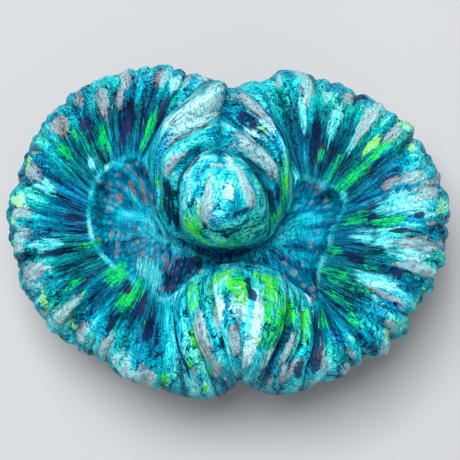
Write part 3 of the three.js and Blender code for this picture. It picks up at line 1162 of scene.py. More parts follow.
class Weaver:
    """Builds a material's nodes, one short call for each."""

    def __init__(self, name: str) -> None:
        """Starts an empty material with one Principled shader.

        Args:
            name: The material's name.
        """
        self.material = bpy.data.materials.new(name)
        self.material.use_nodes = True
        self.tree = self.material.node_tree
        self.shader = self.tree.nodes["Principled BSDF"]

    def connect(self, node: bpy.types.Node, inputs: dict[int | str, object]) -> None:
        """Links or sets a node's inputs.

        Args:
            node: The node.
            inputs: Sockets to link, hues, or plain values, by input number or name.
        """
        for key, value in inputs.items():
            if isinstance(value, Socket):
                self.tree.links.new(value, node.inputs[key])
            else:
                node.inputs[key].default_value = value.value if isinstance(value, Hue) else value

    def node(
        self, kind: str, inputs: dict[int | str, object], **settings: object
    ) -> bpy.types.Node:
        """Adds a node, sets its properties, and links or sets its inputs.

        Args:
            kind: The node's type without its ShaderNode prefix.
            inputs: Sockets to link, hues, or plain values, by input number or name.
            **settings: The node's own properties.

        Returns:
            The node.
        """
        made = self.tree.nodes.new("ShaderNode" + kind)
        for key, value in settings.items():
            setattr(made, key, value)
        self.connect(made, inputs)
        return made

    def finish(self, inputs: dict[int | str, object]) -> bpy.types.Material:
        """Links or sets the shader's inputs and gives the material back."""
        self.connect(self.shader, inputs)
        return self.material

    def attribute(self, name: str, output: str = "Fac") -> Socket:
        """Reads an attribute of the mesh."""
        return self.node("Attribute", {}, attribute_name=name).outputs[output]

    def vector(self, operation: str, first: Socket, second: Socket | Point) -> Socket:
        """One step of arithmetic on vectors."""
        return self.node("VectorMath", {0: first, 1: second}, operation=operation).outputs[0]

    def drawn(self, vector: Socket, along: float) -> Socket:
        """Rib coordinates with the climb scaled, which draws patterns out along the ribs."""
        return self.vector("MULTIPLY", vector, (1.0, 1.0, along))

    def axis(self, vector: Socket, number: int) -> Socket:
        """One coordinate of a vector."""
        return self.node("SeparateXYZ", {0: vector}).outputs[number]

    def stray(self, vector: Socket, scale: float, detail: float) -> Socket:
        """A vector of noise, from -0.5 to 0.5 along each axis."""
        noise = self.node("TexNoise", {"Vector": vector, "Scale": scale, "Detail": detail})
        return self.vector("SUBTRACT", noise.outputs["Color"], (0.5, 0.5, 0.5))

    def warped(self, vector: Socket, scale: float, reach: float) -> Socket:
        """A vector moved about by noise of a scale, up to half the reach each way."""
        moved = self.vector("MULTIPLY", self.stray(vector, scale, 1.0), (reach, reach, reach))
        return self.vector("ADD", vector, moved)

    def noise(
        self, vector: Socket, scale: float, detail: float = 2.0, rough: float = 0.5
    ) -> Socket:
        """Plain noise, about 0.5 on average."""
        inputs = {"Vector": vector, "Scale": scale, "Detail": detail, "Roughness": rough}
        return self.node("TexNoise", inputs).outputs["Fac"]

    def maths(self, operation: str, first: Input, second: Input, third: Input = 0.0) -> Socket:
        """One step of arithmetic."""
        return self.node("Math", {0: first, 1: second, 2: third}, operation=operation).outputs[0]

    def add(self, first: Input, second: Input) -> Socket:
        """The sum of two values."""
        return self.maths("ADD", first, second)

    def less(self, first: Input, second: Input) -> Socket:
        """The first value less the second."""
        return self.maths("SUBTRACT", first, second)

    def times(self, first: Input, second: Input) -> Socket:
        """The product of two values."""
        return self.maths("MULTIPLY", first, second)

    def scale_add(self, value: Input, by: Input, plus: Input) -> Socket:
        """A value multiplied by one and added to another."""
        return self.maths("MULTIPLY_ADD", value, by, plus)

    def most(self, first: Input, second: Input) -> Socket:
        """The larger of two values."""
        return self.maths("MAXIMUM", first, second)

    def step(self, value: Input, low: float, high: float) -> Socket:
        """Goes smoothly from 0 at low to 1 at high; with low above high it goes down."""
        inputs = {"Value": value, "From Min": low, "From Max": high}
        return self.node("MapRange", inputs, interpolation_type="SMOOTHSTEP").outputs["Result"]

    def contours(self, value: Socket, count: float, width: float) -> Socket:
        """Thin lines along a value's contours, 1 on a line.

        Args:
            value: The value, about 0 to 1.
            count: How many lines there are from 0 to 1.
            width: A line's half width, as a share of the gap between two lines.

        Returns:
            A mask.
        """
        zigzag = self.maths("PINGPONG", self.times(value, count), 0.5)
        return self.step(zigzag, width, 0.35 * width)

    def ramp(self, value: Socket, stops: list[tuple[float, Hue]]) -> Socket:
        """Colours blended along a value.

        Args:
            value: The value, about 0 to 1.
            stops: Places along the value, each with its hue.

        Returns:
            A colour.
        """
        made = self.node("ValToRGB", {"Fac": value})
        elements = made.color_ramp.elements
        for place, hue in stops[2:]:
            elements.new(place)
        for element, (place, hue) in zip(elements, stops):
            element.position = place
            element.color = hue.value
        return made.outputs["Color"]

    def mix(self, factor: Input, under: Socket, over: Socket | Hue) -> Socket:
        """Lays one colour over another, as far as the factor says."""
        inputs = {0: factor, 6: under, 7: over}
        return self.node("Mix", inputs, data_type="RGBA").outputs[2]


@dataclass(frozen=True)
class FleshFinish:
    """Moist soft tissue: teal near the wall, bright towards the rim, streaked along the ribs."""

    name: str = "moist_flesh"
    roughness: float = 0.42
    roughness_range: float = 0.3
    specular: float = 0.07
    refraction: float = 1.38
    bump_strength: float = 0.6
    bump_height: float = 0.3
    ripple_pitch: float = 0.62
    ripple_sway: float = 30.0
    blue_cover: float = 0.35
    azure_cover: float = 0.95
    green_cover: float = 0.7
    disc_blue_cover: float = 0.4
    vein_cover: float = 0.34
    wart_cover: float = 0.5
    throat_navy_and_shade_cover: float = 0.35
    frost_cover: float = 0.88
    crack_shade: float = 0.6
    dash_shade: float = 0.5
    band_shade: float = 0.3
    lining_shade: float = 0.6
    dark_and_shadow_cover: float = 0.9
    lemon_cover: float = 0.75
    neon_cover: float = 0.92
    thread_shade: float = 0.45
    painted_groove_shade: float = 0.65
    painted_seam_shade: float = 0.5

    def build(self) -> bpy.types.Material:
        """Builds the material: disc and mantle, then beads, markings, painted shade and underside.

        Returns:
            The material.
        """
        flesh = FleshPattern(self)
        w = flesh.w
        colour = w.mix(w.step(flesh.spread, -0.02, 0.015), flesh.disc(), flesh.mantle())
        for layer in (flesh.beads, flesh.markings, flesh.painted_shade_and_underside):
            colour = layer(colour)
        least = self.roughness - self.roughness_range / 2.0
        return w.finish(
            {
                "Base Color": colour,
                "Roughness": w.scale_add(w.noise(flesh.ribs, 0.8), self.roughness_range, least),
                "Normal": flesh.bumps(),
                "Specular IOR Level": self.specular,
                "IOR": self.refraction,
            }
        )


class FleshPattern:
    """The patterns of the flesh: sockets that they share, and a method for each layer of colour.

    Markings start from soft masks, and a comb of fine lines and small cells, both drawn out along
    the ribs, makes their edges jagged. The scale of a noise is in features per millimetre. The
    levels of the steps and the weights of the sums are given.

    Attributes:
        finish: The strengths of the layers.
        w: The material's weaver.
        ribs: Coordinates along the ribs.
        long: The same, for patterns drawn out along the ribs.
        spread: -1 at the mouth, 0 on the wall, 1 at the rim, 2 where the flesh ends.
        crest: How high the relief stands, about 0 to 1.
        folded: How far a place belongs to a fold.
        grain: Fine noise.
        wavy: Coordinates along the ribs that sway on the outer mantle.
        comb: Fine lines along the ribs.
        jag: The comb, the cells and the grain added up, about 0.
        ripple: Ripples across the ribs, from -1 to 1.
        light: How light the mantle is, with painted light and shade from the relief, about 0 to 1.
        lit: The same, for the markings.
        strands: Noise in long strands along the ribs.
        cracks: Wandering lines in the markings.
    """

    def __init__(self, finish: FleshFinish) -> None:
        """Makes the sockets that the layers share.

        Args:
            finish: The strengths of the layers.
        """
        self.finish = finish
        self.w = w = Weaver(finish.name)
        self.ribs = w.attribute("rib_space", "Vector")
        self.long = w.drawn(self.ribs, 0.3)
        self.spread = w.attribute("spread")
        self.crest = w.attribute("crest")
        self.folded = w.attribute("folded")
        self.grain = w.noise(self.ribs, 2.4, 3.0, 0.65)
        self.wavy = self.swaying()
        self.comb = w.noise(w.drawn(self.wavy, 0.12), 2.4, 1.0)
        self.jag = self.jagged()
        self.ripple = self.ripples()
        self.light = self.lightness()
        fine = w.noise(self.ribs, 1.6, 3.0, 0.6)
        # lit carries the painted light and shade of the relief on into the markings.
        self.lit = w.scale_add(self.light, 0.85, w.scale_add(fine, 0.6, -0.14))
        self.strands = w.noise(w.drawn(self.ribs, 0.12), 1.4, 1.5, 0.6)
        self.cracks = w.contours(w.noise(w.warped(self.ribs, 0.9, 0.8), 0.7), 3.6, 0.1)

    def place(self) -> Socket:
        """The place on the object, in millimetres."""
        here = self.w.node("TexCoord", {}).outputs["Object"]
        return self.w.vector("MULTIPLY", here, (1.0 / MM, 1.0 / MM, 1.0 / MM))

    def swaying(self) -> Socket:
        """Coordinates along the ribs that sway from side to side on the outer mantle.

        Returns:
            A vector.
        """
        w = self.w
        stray = w.stray(w.drawn(self.ribs, 0.8), 0.42, 2.0)
        reach = w.scale_add(w.step(self.spread, 0.25, 0.75), 3.4, 0.3)
        sway = w.node("VectorMath", {0: stray, "Scale": reach}, operation="SCALE").outputs[0]
        return w.vector("ADD", self.ribs, sway)

    def jagged(self) -> Socket:
        """The comb, small cells and the grain added up, to roughen the edges of markings.

        Returns:
            A value, about 0 on average.
        """
        w = self.w
        cells = w.node("TexVoronoi", {"Vector": w.drawn(self.ribs, 0.5), "Scale": 1.9})
        cell = w.node("SeparateColor", {0: cells.outputs["Color"]}).outputs[0]
        jag = w.scale_add(self.comb, 1.1, w.times(cell, 0.32))
        return w.scale_add(self.grain, 0.5, w.less(jag, 0.96))

    def ripples(self) -> Socket:
        """Small ripples that cross every rib: the sine of the climb, bent by noise.

        Returns:
            A value from -1 to 1.
        """
        w = self.w
        sway = w.noise(self.long, 0.75, 3.0, 0.6)
        phase = w.times(w.axis(self.ribs, 2), 2.0 * math.pi / self.finish.ripple_pitch)
        return w.maths("SINE", w.scale_add(sway, self.finish.ripple_sway, phase), 0.0)

    def lightness(self) -> Socket:
        """How light the mantle is: dim near the wall, and bright on the outer ribs and the folds.

        Dark hairlines run along the ribs, ripples cross them, and crackles wander over both. The
        ribs' tops are lightened as painted light, and their grooves, their creases and the ripples'
        troughs are darkened as painted shade.

        Returns:
            A value, about 0 to 1.
        """
        w = self.w
        bright = w.most(w.step(self.spread, 0.3, 0.9), w.times(self.folded, 0.95))
        tone = w.noise(w.drawn(self.ribs, 0.25), 0.36, 3.0, 0.6)
        light = w.scale_add(bright, -0.03, w.scale_add(self.folded, 0.08, -0.8))
        light = w.scale_add(tone, w.scale_add(bright, 0.75, 0.75), light)
        # The crest's share is painted light on the ribs' tops and painted shade in their grooves and
        # creases.
        for value, weight in ((self.crest, 0.35), (self.comb, 0.4), (self.grain, 0.65)):
            light = w.scale_add(value, weight, light)
        hairs = w.noise(w.drawn(self.wavy, 0.05), 1.1, 2.0, 0.6)
        light = w.scale_add(w.contours(hairs, 4.5, 0.17), -0.2, light)
        patchy = w.step(w.noise(self.ribs, 0.7, 1.0), 0.4, 0.6)
        # Painted shade in the ripples' troughs, in patches, deeper on the bright outer ribs.
        trough_shadow = w.times(w.step(self.ripple, 0.0, -0.9), w.scale_add(bright, 0.26, 0.02))
        light = w.less(light, w.times(trough_shadow, patchy))
        warped = w.warped(w.drawn(self.ribs, 0.6), 0.6, 1.4)
        crackle = w.contours(w.noise(warped, 0.42), 8.0, 0.16)
        depth = w.scale_add(w.step(w.noise(self.ribs, 0.3, 1.0), 0.42, 0.6), 0.35, 0.08)
        depth = w.times(depth, w.scale_add(bright, 0.8, 0.2))
        depth = w.times(depth, w.scale_add(self.folded, 0.1, 1.0))
        return w.less(light, w.times(crackle, depth))

    def bumps(self) -> Socket:
        """Fine relief: the comb, the grain and the ripples added up.

        Returns:
            A normal.
        """
        w = self.w
        height = w.add(w.times(self.comb, 0.7), w.times(self.grain, 0.8))
        height = w.scale_add(self.ripple, 0.1, height)
        strength, distance = self.finish.bump_strength, self.finish.bump_height * MM
        inputs = {"Height": height, "Strength": strength, "Distance": distance}
        return w.node("Bump", inputs).outputs["Normal"]

    def mantle(self) -> Socket:
        """The mantle's ground: cyan, with bluer and greener stretches, as light as each other.

        Returns:
            A colour.
        """
        w = self.w
        blue = w.step(w.noise(w.drawn(self.ribs, 0.5), 0.17, 1.0), 0.5, 0.66)
        azure = w.step(w.scale_add(self.jag, 0.7, w.attribute("azure")), 0.3, 0.7)
        azure = w.times(azure, self.finish.azure_cover)
        blue = w.most(w.times(blue, self.finish.blue_cover), azure)
        shifted = w.vector("ADD", self.ribs, (31.0, 0.0, 0.0))
        leafy = w.step(w.noise(shifted, 0.14, 1.0), 0.5, 0.68)
        leafy = w.times(leafy, w.scale_add(self.folded, -0.7, 1.0))
        leafy = w.times(w.most(leafy, w.attribute("jade")), self.finish.green_cover)
        ground = w.mix(blue, w.ramp(self.light, CYANS), w.ramp(self.light, BLUES))
        return w.mix(leafy, ground, w.ramp(self.light, GREENS))

    def warts(self) -> Socket:
        """Round spots on the disc, in groups.

        Returns:
            A mask.
        """
        w = self.w
        inputs = {"Vector": self.place(), "Scale": 0.66}
        dots = w.node("TexVoronoi", inputs, voronoi_dimensions="2D")
        lots = w.node("SeparateColor", {0: dots.outputs["Color"]}).outputs
        chance = w.scale_add(w.noise(self.ribs, 0.2, 1.0), 2.0, lots[0])
        distance = w.scale_add(self.grain, 0.6, dots.outputs["Distance"])
        distance = w.scale_add(lots[1], 0.25, distance)
        wart = w.times(w.step(distance, 0.82, 0.6), w.step(chance, 1.58, 1.72))
        return w.times(wart, w.step(self.spread, -0.8, -0.65))

    def disc(self) -> Socket:
        """The oral disc: mottled blue, streaming into the mouth, with rosy warts and lines.

        Painted light lifts its warts and folds and the band next to the mouth, and painted shade,
        with the mouth's own navy, darkens the open mouth.

        Returns:
            A colour.
        """
        w = self.w
        flow = w.attribute("flow", "Vector")
        stream = w.noise(w.warped(w.drawn(flow, 0.22), 0.3, 1.2), 0.8, 2.0, 0.6)
        mottle = w.noise(self.ribs, 0.7, 5.0, 0.72)
        near = w.step(w.axis(flow, 2), 11.0, 5.0)
        light = w.scale_add(stream, 0.9, -0.81)
        # The crest's share is painted light on the disc's raised warts and folds.
        for value, weight in ((mottle, 0.9), (self.grain, 0.4), (self.crest, 0.2)):
            light = w.scale_add(value, weight, light)
        lines = w.scale_add(near, -0.26, -0.08)
        light = w.scale_add(w.contours(stream, 8.0, 0.2), lines, light)
        # Painted light near the mouth, lifting the shade that lies there.
        light = w.scale_add(w.step(self.spread, -0.75, -0.98), 0.28, light)
        blue = w.step(w.noise(flow, 0.22, 1.0), 0.45, 0.65)
        blue = w.times(blue, self.finish.disc_blue_cover)
        ground = w.mix(blue, w.ramp(light, CYANS), w.ramp(light, BLUES))
        left = w.step(w.axis(flow, 0), -2.0, -6.5)
        vein = w.times(w.contours(stream, 4.0, 0.14), w.times(near, left))
        ground = w.mix(w.times(vein, self.finish.vein_cover), ground, Hue.ROSE)
        rosy = w.ramp(w.noise(self.ribs, 0.45, 3.0), WARTS)
        ground = w.mix(w.times(self.warts(), self.finish.wart_cover), ground, rosy)
        # Navy down into the open mouth: partly the mouth's own colour, partly painted shade in the slit.
        open_mouth = w.step(w.attribute("gape"), 0.3, 0.75)
        throat_navy_and_shade = w.times(w.step(self.spread, -0.84, -0.99), open_mouth)
        return w.mix(w.times(throat_navy_and_shade, self.finish.throat_navy_and_shade_cover), ground, Hue.NAVY)

    def beads(self, colour: Socket) -> Socket:
        """Lights the row of beads on the wall, most of all at the left end.

        Args:
            colour: What is under them.

        Returns:
            A colour.
        """
        w = self.w
        beads = w.times(w.step(self.spread, -0.07, -0.01), w.step(self.spread, 0.05, 0.005))
        shine = w.add(w.noise(self.ribs, 0.16, 1.0), w.scale_add(self.grain, 0.8, -0.4))
        west = w.step(w.axis(self.place(), 0), -15.0, -20.0)
        glow = w.scale_add(west, 0.45, 0.35)
        return w.mix(w.times(beads, glow), colour, w.ramp(shine, BEADS))

    def mask(self, kind: Marking) -> Socket:
        """The placed mask of a marking, joined with its streaks that grow anywhere.

        The jag roughens it, and strands are bitten out of it.

        Args:
            kind: The marking.

        Returns:
            A value that passes one half at the marking's edge.
        """
        w, growth = self.w, GROWTHS[kind]
        shifted = w.vector("ADD", self.long, (growth.scale * 71.0, 0.0, 0.0))
        streaks = w.step(w.noise(shifted, growth.scale, 1.0), growth.low, growth.high)
        after = w.step(self.spread, growth.start - 0.1, growth.start)
        before = w.step(self.spread, growth.end + 0.1, growth.end)
        streaks = w.times(w.times(streaks, w.times(after, before)), growth.strength)
        joined = w.most(w.attribute(kind.name.lower()), streaks)
        bites = w.step(self.strands, 0.54, 0.44)
        return w.add(joined, w.scale_add(bites, -growth.bite, self.jag))

    def frosted(self, colour: Socket, frost: Socket) -> Socket:
        """Lays frost: icy, cracked, and crossed by short dashes on the folds.

        On the folds it is lifted further as painted light, against the shade they lie in.

        Args:
            colour: What is under it.
            frost: Its mask.

        Returns:
            A colour.
        """
        w = self.w
        # Painted light: the frost is lifted further on the folds, against the shade they lie in.
        icy_and_lit = w.scale_add(self.folded, 0.24, w.add(self.lit, 0.08))
        colour = w.mix(w.times(frost, self.finish.frost_cover), colour, w.ramp(icy_and_lit, ICES))
        cracked = w.times(w.times(frost, self.cracks), self.finish.crack_shade)
        colour = w.mix(cracked, colour, Hue.DEEP)
        uneven = w.step(w.noise(self.ribs, 1.0), 0.44, 0.56)
        dashes = w.times(w.step(self.ripple, -0.2, -0.7), uneven)
        dashes = w.times(dashes, w.times(frost, self.folded))
        return w.mix(w.times(dashes, self.finish.dash_shade), colour, Hue.CYAN)

    def paled(self, colour: Socket, mask: Socket, pale: Socket) -> Socket:
        """Lays the pale ribs: veiled, banded with tan, and lined with brown at their edges.

        Args:
            colour: What is under them.
            mask: Their rough mask.
            pale: The same, cut at its edge.

        Returns:
            A colour.
        """
        w = self.w
        veil = w.scale_add(w.noise(self.ribs, 0.7, 3.0, 0.6), 2.2, -0.32)
        veil = w.node("Clamp", {0: veil, 1: 0.25, 2: 0.92}).outputs[0]
        colour = w.mix(w.times(pale, veil), colour, w.ramp(self.lit, PALES))
        banded = w.times(pale, w.step(self.ripple, 0.3, 0.9))
        colour = w.mix(w.times(banded, self.finish.band_shade), colour, Hue.TAN)
        lining = w.times(w.step(mask, 0.36, 0.46), w.step(mask, 0.62, 0.5))
        lining = w.times(lining, w.step(w.noise(self.ribs, 0.5, 1.0), 0.42, 0.54))
        return w.mix(w.times(lining, self.finish.lining_shade), colour, Hue.BROWN)

    def markings(self, colour: Socket) -> Socket:
        """Lays the streaks over the ground: frost, pale, dark, lemon and neon, in that order.

        All but the dark ones take their shade from how light the mantle is, so that its hairlines
        and crackles go on through them. The dark ones are partly dark streaks and partly painted
        shadow on the flanks beside the dome. Dark threads cross them last.

        Args:
            colour: The ground.

        Returns:
            A colour.
        """
        w, finish = self.w, self.finish
        frost = w.step(self.mask(Marking.FROST), 0.2, 0.8)
        colour = self.frosted(colour, frost)
        mask = self.mask(Marking.PALE)
        pale = w.step(mask, 0.36, 0.58)
        colour = self.paled(colour, mask, pale)
        # Dark streaks, partly the flesh's own and partly painted shadow beside the dome.
        dark_and_shadow_mask = w.step(self.mask(Marking.DARK), 0.46, 0.54)
        night = w.ramp(w.noise(self.long, 0.5), NIGHTS)
        colour = w.mix(w.times(dark_and_shadow_mask, finish.dark_and_shadow_cover), colour, night)
        lemon = w.step(self.mask(Marking.LEMON), 0.3, 0.7)
        colour = w.mix(w.times(lemon, finish.lemon_cover), colour, w.ramp(self.lit, LEMONS))
        mask = self.mask(Marking.NEON)
        mottled = w.step(w.noise(self.ribs, 0.33, 1.0), 0.52, 0.56)
        hollow = w.times(w.step(mask, 0.72, 0.84), mottled)
        neon = w.less(w.step(mask, 0.42, 0.56), w.times(hollow, 0.85))
        glow = w.mix(w.times(self.cracks, 0.5), w.ramp(self.lit, NEONS), Hue.INK)
        colour = w.mix(w.times(neon, finish.neon_cover), colour, glow)
        marked = w.most(w.times(frost, 0.25), neon)
        marked = w.most(marked, w.times(pale, 0.7))
        threads = w.times(marked, w.contours(self.strands, 9.0, 0.24))
        return w.mix(w.times(threads, finish.thread_shade), colour, Hue.DEEP)

    def painted_shade_and_underside(self, colour: Socket) -> Socket:
        """Paints shade into the grooves and the seam in the folds, and lays on the underside.

        Args:
            colour: What is under them.

        Returns:
            A colour.
        """
        w, finish = self.w, self.finish
        # Painted shade in the grooves between the ribs of the mantle.
        groove_shadow = w.times(w.step(self.crest, 0.4, 0.1), w.step(self.spread, 0.0, 0.1))
        colour = w.mix(w.times(groove_shadow, finish.painted_groove_shade), colour, Hue.ABYSS)
        # Painted shade along the seam where a fold's two sides meet, at its rim and under it.
        seam_shadow = w.times(w.step(self.spread, 0.93, 0.99), self.folded)
        colour = w.mix(w.times(seam_shadow, finish.painted_seam_shade), colour, Hue.DEEP)
        under = w.ramp(w.noise(self.ribs, 0.5, 3.0), UNDERS)
        return w.mix(w.step(self.spread, 1.4, 1.8), colour, under)


@dataclass(frozen=True)
class StoneFinish:
    """Dry chalky stone, ribbed, with darker sand-coloured grooves and crusts of moss green and dusky pink.
    """

    name: str = "coral_stone"
    roughness: float = 0.85
    specular: float = 0.25
    crust_cover: float = 0.6
    bump_strength: float = 0.7
    bump_height: float = 0.4

    def build(self) -> bpy.types.Material:
        """Builds the material.

        Returns:
            The material.
        """
        w = Weaver(self.name)
        ribs = w.attribute("rib_space", "Vector")
        grain = w.noise(ribs, 1.4, 4.0, 0.65)
        # Paler on the ribs' crests and darker in their grooves.
        light = w.add(w.times(grain, 0.7), w.times(w.attribute("crest"), 0.4))
        crust = w.step(w.noise(ribs, 0.22, 3.0), 0.52, 0.6)
        crust = w.times(crust, self.crust_cover)
        strength, distance = self.bump_strength, self.bump_height * MM
        bump = w.node("Bump", {"Height": grain, "Strength": strength, "Distance": distance})
        return w.finish(
            {
                "Base Color": w.mix(crust, w.ramp(light, STONES), Hue.CORALLINE),
                "Roughness": self.roughness,
                "Normal": bump.outputs["Normal"],
                "Specular IOR Level": self.specular,
            }
        )


@dataclass(frozen=True)
class FloorFinish:
    """A plain pale floor."""

    name: str = "pale_floor"
    roughness: float = 0.7

    def build(self) -> bpy.types.Material:
        """Builds the material."""
        inputs = {"Base Color": Hue.PALE_FLOOR, "Roughness": self.roughness}
        return Weaver(self.name).finish(inputs)


# ---------------------------------------------------------------------------------------------
# Meshes
# ---------------------------------------------------------------------------------------------


def add_attribute(mesh: bpy.types.Mesh, name: str, values: np.ndarray) -> None:
    """Stores one number or one vector for each vertex of a mesh.

    Args:
        mesh: The mesh.
        name: The attribute's name.
        values: One row for each vertex.
    """
    vector = values.ndim == 2
    kind, key = ("FLOAT_VECTOR", "vector") if vector else ("FLOAT", "value")
    attribute = mesh.attributes.new(name, kind, "POINT")
    attribute.data.foreach_set(key, values.astype(np.float32).ravel())


def write_mesh(
    name: str, points: np.ndarray, faces: list[np.ndarray], values: dict[str, np.ndarray]
) -> bpy.types.Object:
    """Makes an object from points in millimetres and faces.

    Args:
        name: The piece's name.
        points: The vertices.
        faces: Arrays of vertex numbers, each with its own number of corners.
        values: Attributes, one entry for each vertex.

    Returns:
        The object, at the origin and smooth shaded.
    """
    mesh = bpy.data.meshes.new(name)
    corners = np.concatenate([block.ravel() for block in faces])
    sizes = np.concatenate([np.full(len(block), block.shape[1]) for block in faces])
    mesh.vertices.add(len(points))
    mesh.vertices.foreach_set("co", (points * MM).astype(np.float32).ravel())
    mesh.loops.add(len(corners))
    mesh.loops.foreach_set("vertex_index", corners.astype(np.int32))
    mesh.polygons.add(len(sizes))
    starts = np.concatenate([[0], np.cumsum(sizes)[:-1]])
    mesh.polygons.foreach_set("loop_start", starts.astype(np.int32))
    mesh.update(calc_edges=True)
    mesh.validate()
    mesh.polygons.foreach_set("use_smooth", np.ones(len(mesh.polygons), dtype=bool))
    for key, value in values.items():
        add_attribute(mesh, key, value)
    piece = bpy.data.objects.new(name, mesh)
    bpy.context.scene.collection.objects.link(piece)
    return piece


@dataclass
class Flesh:
    """The soft tissue: disc, wall, mantle, folds and underside, as one closed surface."""

    form: ColonyForm = ColonyForm()
    relief: FleshRelief = FleshRelief()
    painter: Painter = Painter()
    finish: FleshFinish = FleshFinish()
    crease_width: float = 0.4
    columns: int = 900
    steps: tuple[int, ...] = (12, 19, 10, 18, 17, 14, 8, 4, 2)
    name: str = "flesh"

    def sheet(self) -> Sheet:
        """The plain form on the full grid, its middle over the origin.

        Returns:
            The form as a sheet.
        """
        places = self.form.column_places(self.columns)
        turns = 2.0 * np.pi * np.arange(self.columns) / self.columns
        parts = [i + np.arange(count) / count for i, count in enumerate(self.steps)]
        rows = np.concatenate(parts + [[float(len(self.steps))]])
        points = catmull_rom(self.form.knots(places, turns), rows, False)
        middle = (points.min(axis=(0, 1)) + points.max(axis=(0, 1))) / 2.0
        points[..., :2] -= middle[:2]
        values = [row.value for row in Row]
        return Sheet(points, np.interp(rows, np.arange(len(values)), values), places)

    def faces(self, columns: int, rows: int) -> list[np.ndarray]:
        """The faces: quads over the grid, and a fan that closes the last row inside the cone.

        The two halves of the mouth's row share their vertices, so that the surface closes there.

        Args:
            columns: How many columns the grid has.
            rows: How many rows it has.

        Returns:
            Arrays of vertex numbers.
        """
        shared = columns // 2 + 1
        mouth = np.minimum(np.arange(columns), columns - np.arange(columns))
        number = np.arange(columns)[:, None] * (rows - 1) + np.arange(rows - 1)[None, :]
        number = np.concatenate([mouth[:, None], shared + number], axis=1)
        return [grid_quads(number), ring_fan(number[:, -1], shared + columns * (rows - 1))]

    def gather(self, grid: np.ndarray) -> np.ndarray:
        """Lists a grid's values in the order of the vertices: the mouth, the rest, the centre.

        Args:
            grid: Values by column and row.

        Returns:
            One value for each vertex.
        """
        mouth = grid[: len(grid) // 2 + 1, 0]
        rest = grid[:, 1:].reshape((-1,) + grid.shape[2:])
        return np.concatenate([mouth, rest, grid[:, -1].mean(axis=0)[None]])

    def build(self) -> bpy.types.Object:
        """Builds the flesh: its plain form, lifted along the normals by the relief.

        Returns:
            The piece.
        """
        sheet = self.sheet()
        masks = self.painter.masks(sheet)
        dome, folds = self.form.dome(), self.form.folds()
        sharp = [crease for fold in folds for crease in fold.sharp]
        creases = sheet.nearness(sharp, self.crease_width)[:, None]
        folded = np.maximum.reduce([fold.share(sheet.places) for fold in folds])
        height, detail = self.relief.heights(sheet, dome, masks[Marking.PALE], creases, folded)
        points = sheet.points + height[..., None] * sheet.normals()
        columns, rows = sheet.climb.shape
        gape = np.sin(2.0 * np.pi * np.arange(columns) / columns) ** 2
        grids = {
            "rib_space": sheet.rib_space(dome),
            "spread": np.broadcast_to(sheet.spread, (columns, rows)),
            # The material lightens the crests and darkens the grooves and creases: painted light and shade.
            "crest": detail,
            "folded": np.broadcast_to(folded[:, None], (columns, rows)),
            "flow": sheet.flow(),
            "gape": np.broadcast_to(gape[:, None], (columns, rows)),
        }
        grids.update({kind.name.lower(): mask for kind, mask in masks.items()})
        values = {key: self.gather(grid) for key, grid in grids.items()}
        piece = write_mesh(self.name, self.gather(points), self.faces(columns, rows), values)
        piece.data.materials.append(self.finish.build())
        return piece


@dataclass
class StonyCone:
    """The bare stone under the flesh: a ribbed cone with a flat cut at its foot."""

    form: ColonyForm = ColonyForm()
    finish: StoneFinish = StoneFinish()
    columns: int = 600
    rows: int = 44
    ribs: int = 96
    rib_height: float = 0.42
    rib_level: float = 0.6
    uneven_size: float = 2.5
    grain_size: float = 0.7
    grain_height: float = 0.16
    cap_scale: float = 0.9
    cap_drop: float = 0.8
    cap_hollow: float = 3.0
    waist_share: float = 0.45
    waist_height: float = 0.5
    smooth_foot: float = 0.1
    seed: int = 41
    name: str = "stony_cone"

    def build(self) -> bpy.types.Object:
        """Builds the cone.

        It is lofted from the foot's outline to the neck's through one between them, and its ribs
        are the root of the size of a sine, uneven in height and broken into grains.

        Returns:
            The piece.
        """
        turns = 2.0 * np.pi * np.arange(self.columns) / self.columns
        neck = self.form.neck.outline(turns)
        foot = self.form.foot.outline(turns)
        waist = neck + self.waist_share * (foot - neck)
        waist[:, 2] = neck[:, 2] * self.waist_height
        top = self.cap_scale * neck
        top[:, 2] = neck[:, 2] - self.cap_drop
        knots = np.stack([top, neck, waist, foot], axis=1)
        last = float(knots.shape[1] - 1)
        rows = np.linspace(0.0, last, self.rows)
        points = catmull_rom(knots, rows, False)
        wave = np.sqrt(np.abs(np.sin(self.ribs * turns / 2.0)))[:, None]
        uneven = 0.75 + 0.25 * smooth_noise(points / self.uneven_size, self.seed)
        grains = lumps(points / self.grain_size, self.seed + 1)
        height = self.rib_height * (wave - self.rib_level) * uneven
        height += self.grain_height * (grains - self.rib_level)
        lift = 1.0 - rise(rows, last - self.smooth_foot, last)
        points = points + (height * lift)[..., None] * grid_normals(points)
        points[:, -1, 2] = 0.0
        number = np.arange(self.columns * self.rows).reshape(self.columns, self.rows)
        low, high = number.size, number.size + 1
        faces = [
            grid_quads(number),
            ring_fan(number[:, -1], low),
            ring_fan(number[:, 0], high)[:, ::-1],
        ]
        centres = [[0.0, 0.0, 0.0], [0.0, 0.0, top[0, 2] - self.cap_hollow]]
        flat = np.concatenate([points.reshape(-1, 3), centres])
        crest = np.concatenate([(wave * 0.7 + grains * 0.3).ravel(), [0.5, 0.5]])
        values = {"rib_space": flat, "crest": crest}
        piece = write_mesh(self.name, flat, faces, values)
        piece.data.materials.append(self.finish.build())
        return piece


# ---------------------------------------------------------------------------------------------
# Studio
# ---------------------------------------------------------------------------------------------


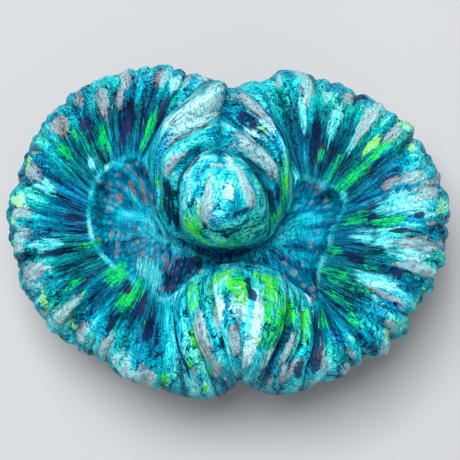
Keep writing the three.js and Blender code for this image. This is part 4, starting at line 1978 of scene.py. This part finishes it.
@dataclass(frozen=True)
class Lamp:
    """A square soft light."""

    name: str
    place: Point
    size: float
    watts: float

    def hang(self, target: Point) -> None:
        """Hangs the light, turned towards a target.

        The tangent of its tilt is the level distance over the drop. Its heading is the gaze's, a
        quarter turn back.

        Args:
            target: The point that it shines at, in metres like its own place.
        """
        light = bpy.data.lights.new(self.name, "AREA")
        light.shape = "SQUARE"
        light.size = self.size
        light.energy = self.watts
        lamp = bpy.data.objects.new(self.name, light)
        lamp.location = self.place
        gaze = np.array(target) - np.array(self.place)
        flat = math.hypot(gaze[0], gaze[1])
        heading = math.atan2(gaze[1], gaze[0]) - math.pi / 2
        lamp.rotation_euler = (math.atan2(flat, -gaze[2]), 0.0, heading)
        bpy.context.scene.collection.objects.link(lamp)


@dataclass(frozen=True)
class Studio:
    """A pale floor, soft light and the camera."""

    view: Viewpoint = Viewpoint()
    lens: float = 113.5
    floor_size: float = 4.0
    lamps: tuple[Lamp, ...] = (
        Lamp("overhead", (-0.08, 0.12, 0.55), 0.3, 4.4),
        Lamp("front_fill", (0.3, -0.5, 0.35), 0.4, 0.8),
    )
    ambient: float = 0.3

    def lay_floor(self) -> None:
        """Lays the floor, which isn't part of the object."""
        half = self.floor_size / 2.0
        mesh = bpy.data.meshes.new("floor")
        corners = [(-half, -half, 0.0), (half, -half, 0.0), (half, half, 0.0), (-half, half, 0.0)]
        mesh.from_pydata(corners, [], [(0, 1, 2, 3)])
        mesh.materials.append(FloorFinish().build())
        floor = bpy.data.objects.new("floor", mesh)
        bpy.context.scene.collection.objects.link(floor)

    def light_air(self) -> None:
        """Fills the world with even white light."""
        world = bpy.data.worlds.new("studio")
        world.use_nodes = True
        background = world.node_tree.nodes["Background"]
        background.inputs["Color"].default_value = (1.0, 1.0, 1.0, 1.0)
        background.inputs["Strength"].default_value = self.ambient
        bpy.context.scene.world = world

    def place_camera(self, target: Point) -> None:
        """Puts the camera at the viewpoint: the distance times the unit vector, off the target.

        Args:
            target: The point that it looks at, in metres.
        """
        lens = bpy.data.cameras.new("camera")
        lens.lens = self.lens
        camera = bpy.data.objects.new("camera", lens)
        camera.location = np.array(target) + self.view.back() * self.view.distance * MM
        camera.rotation_euler = (self.view.lean, 0.0, 0.0)
        bpy.context.scene.collection.objects.link(camera)
        bpy.context.scene.camera = camera

    def set_up(self) -> None:
        """Makes the floor, the lights, the world and the camera."""
        target = (0.0, 0.0, self.view.target_z * MM)
        self.lay_floor()
        for lamp in self.lamps:
            lamp.hang(target)
        self.light_air()
        self.place_camera(target)
        bpy.context.scene.view_settings.view_transform = "Standard"


def main() -> None:
    """Loads the frame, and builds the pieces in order."""
    logging.basicConfig(level=logging.INFO, format="%(message)s")
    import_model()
    for builder, slot in ((Flesh(), "flesh"), (StonyCone(), "skeleton")):
        piece = builder.build()
        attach(piece, BODY)
        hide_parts(NODE)
        LOG.info("%s: %d faces", piece.name, len(piece.data.polygons))
    Studio().set_up()


if __name__ == "__main__":
    main()
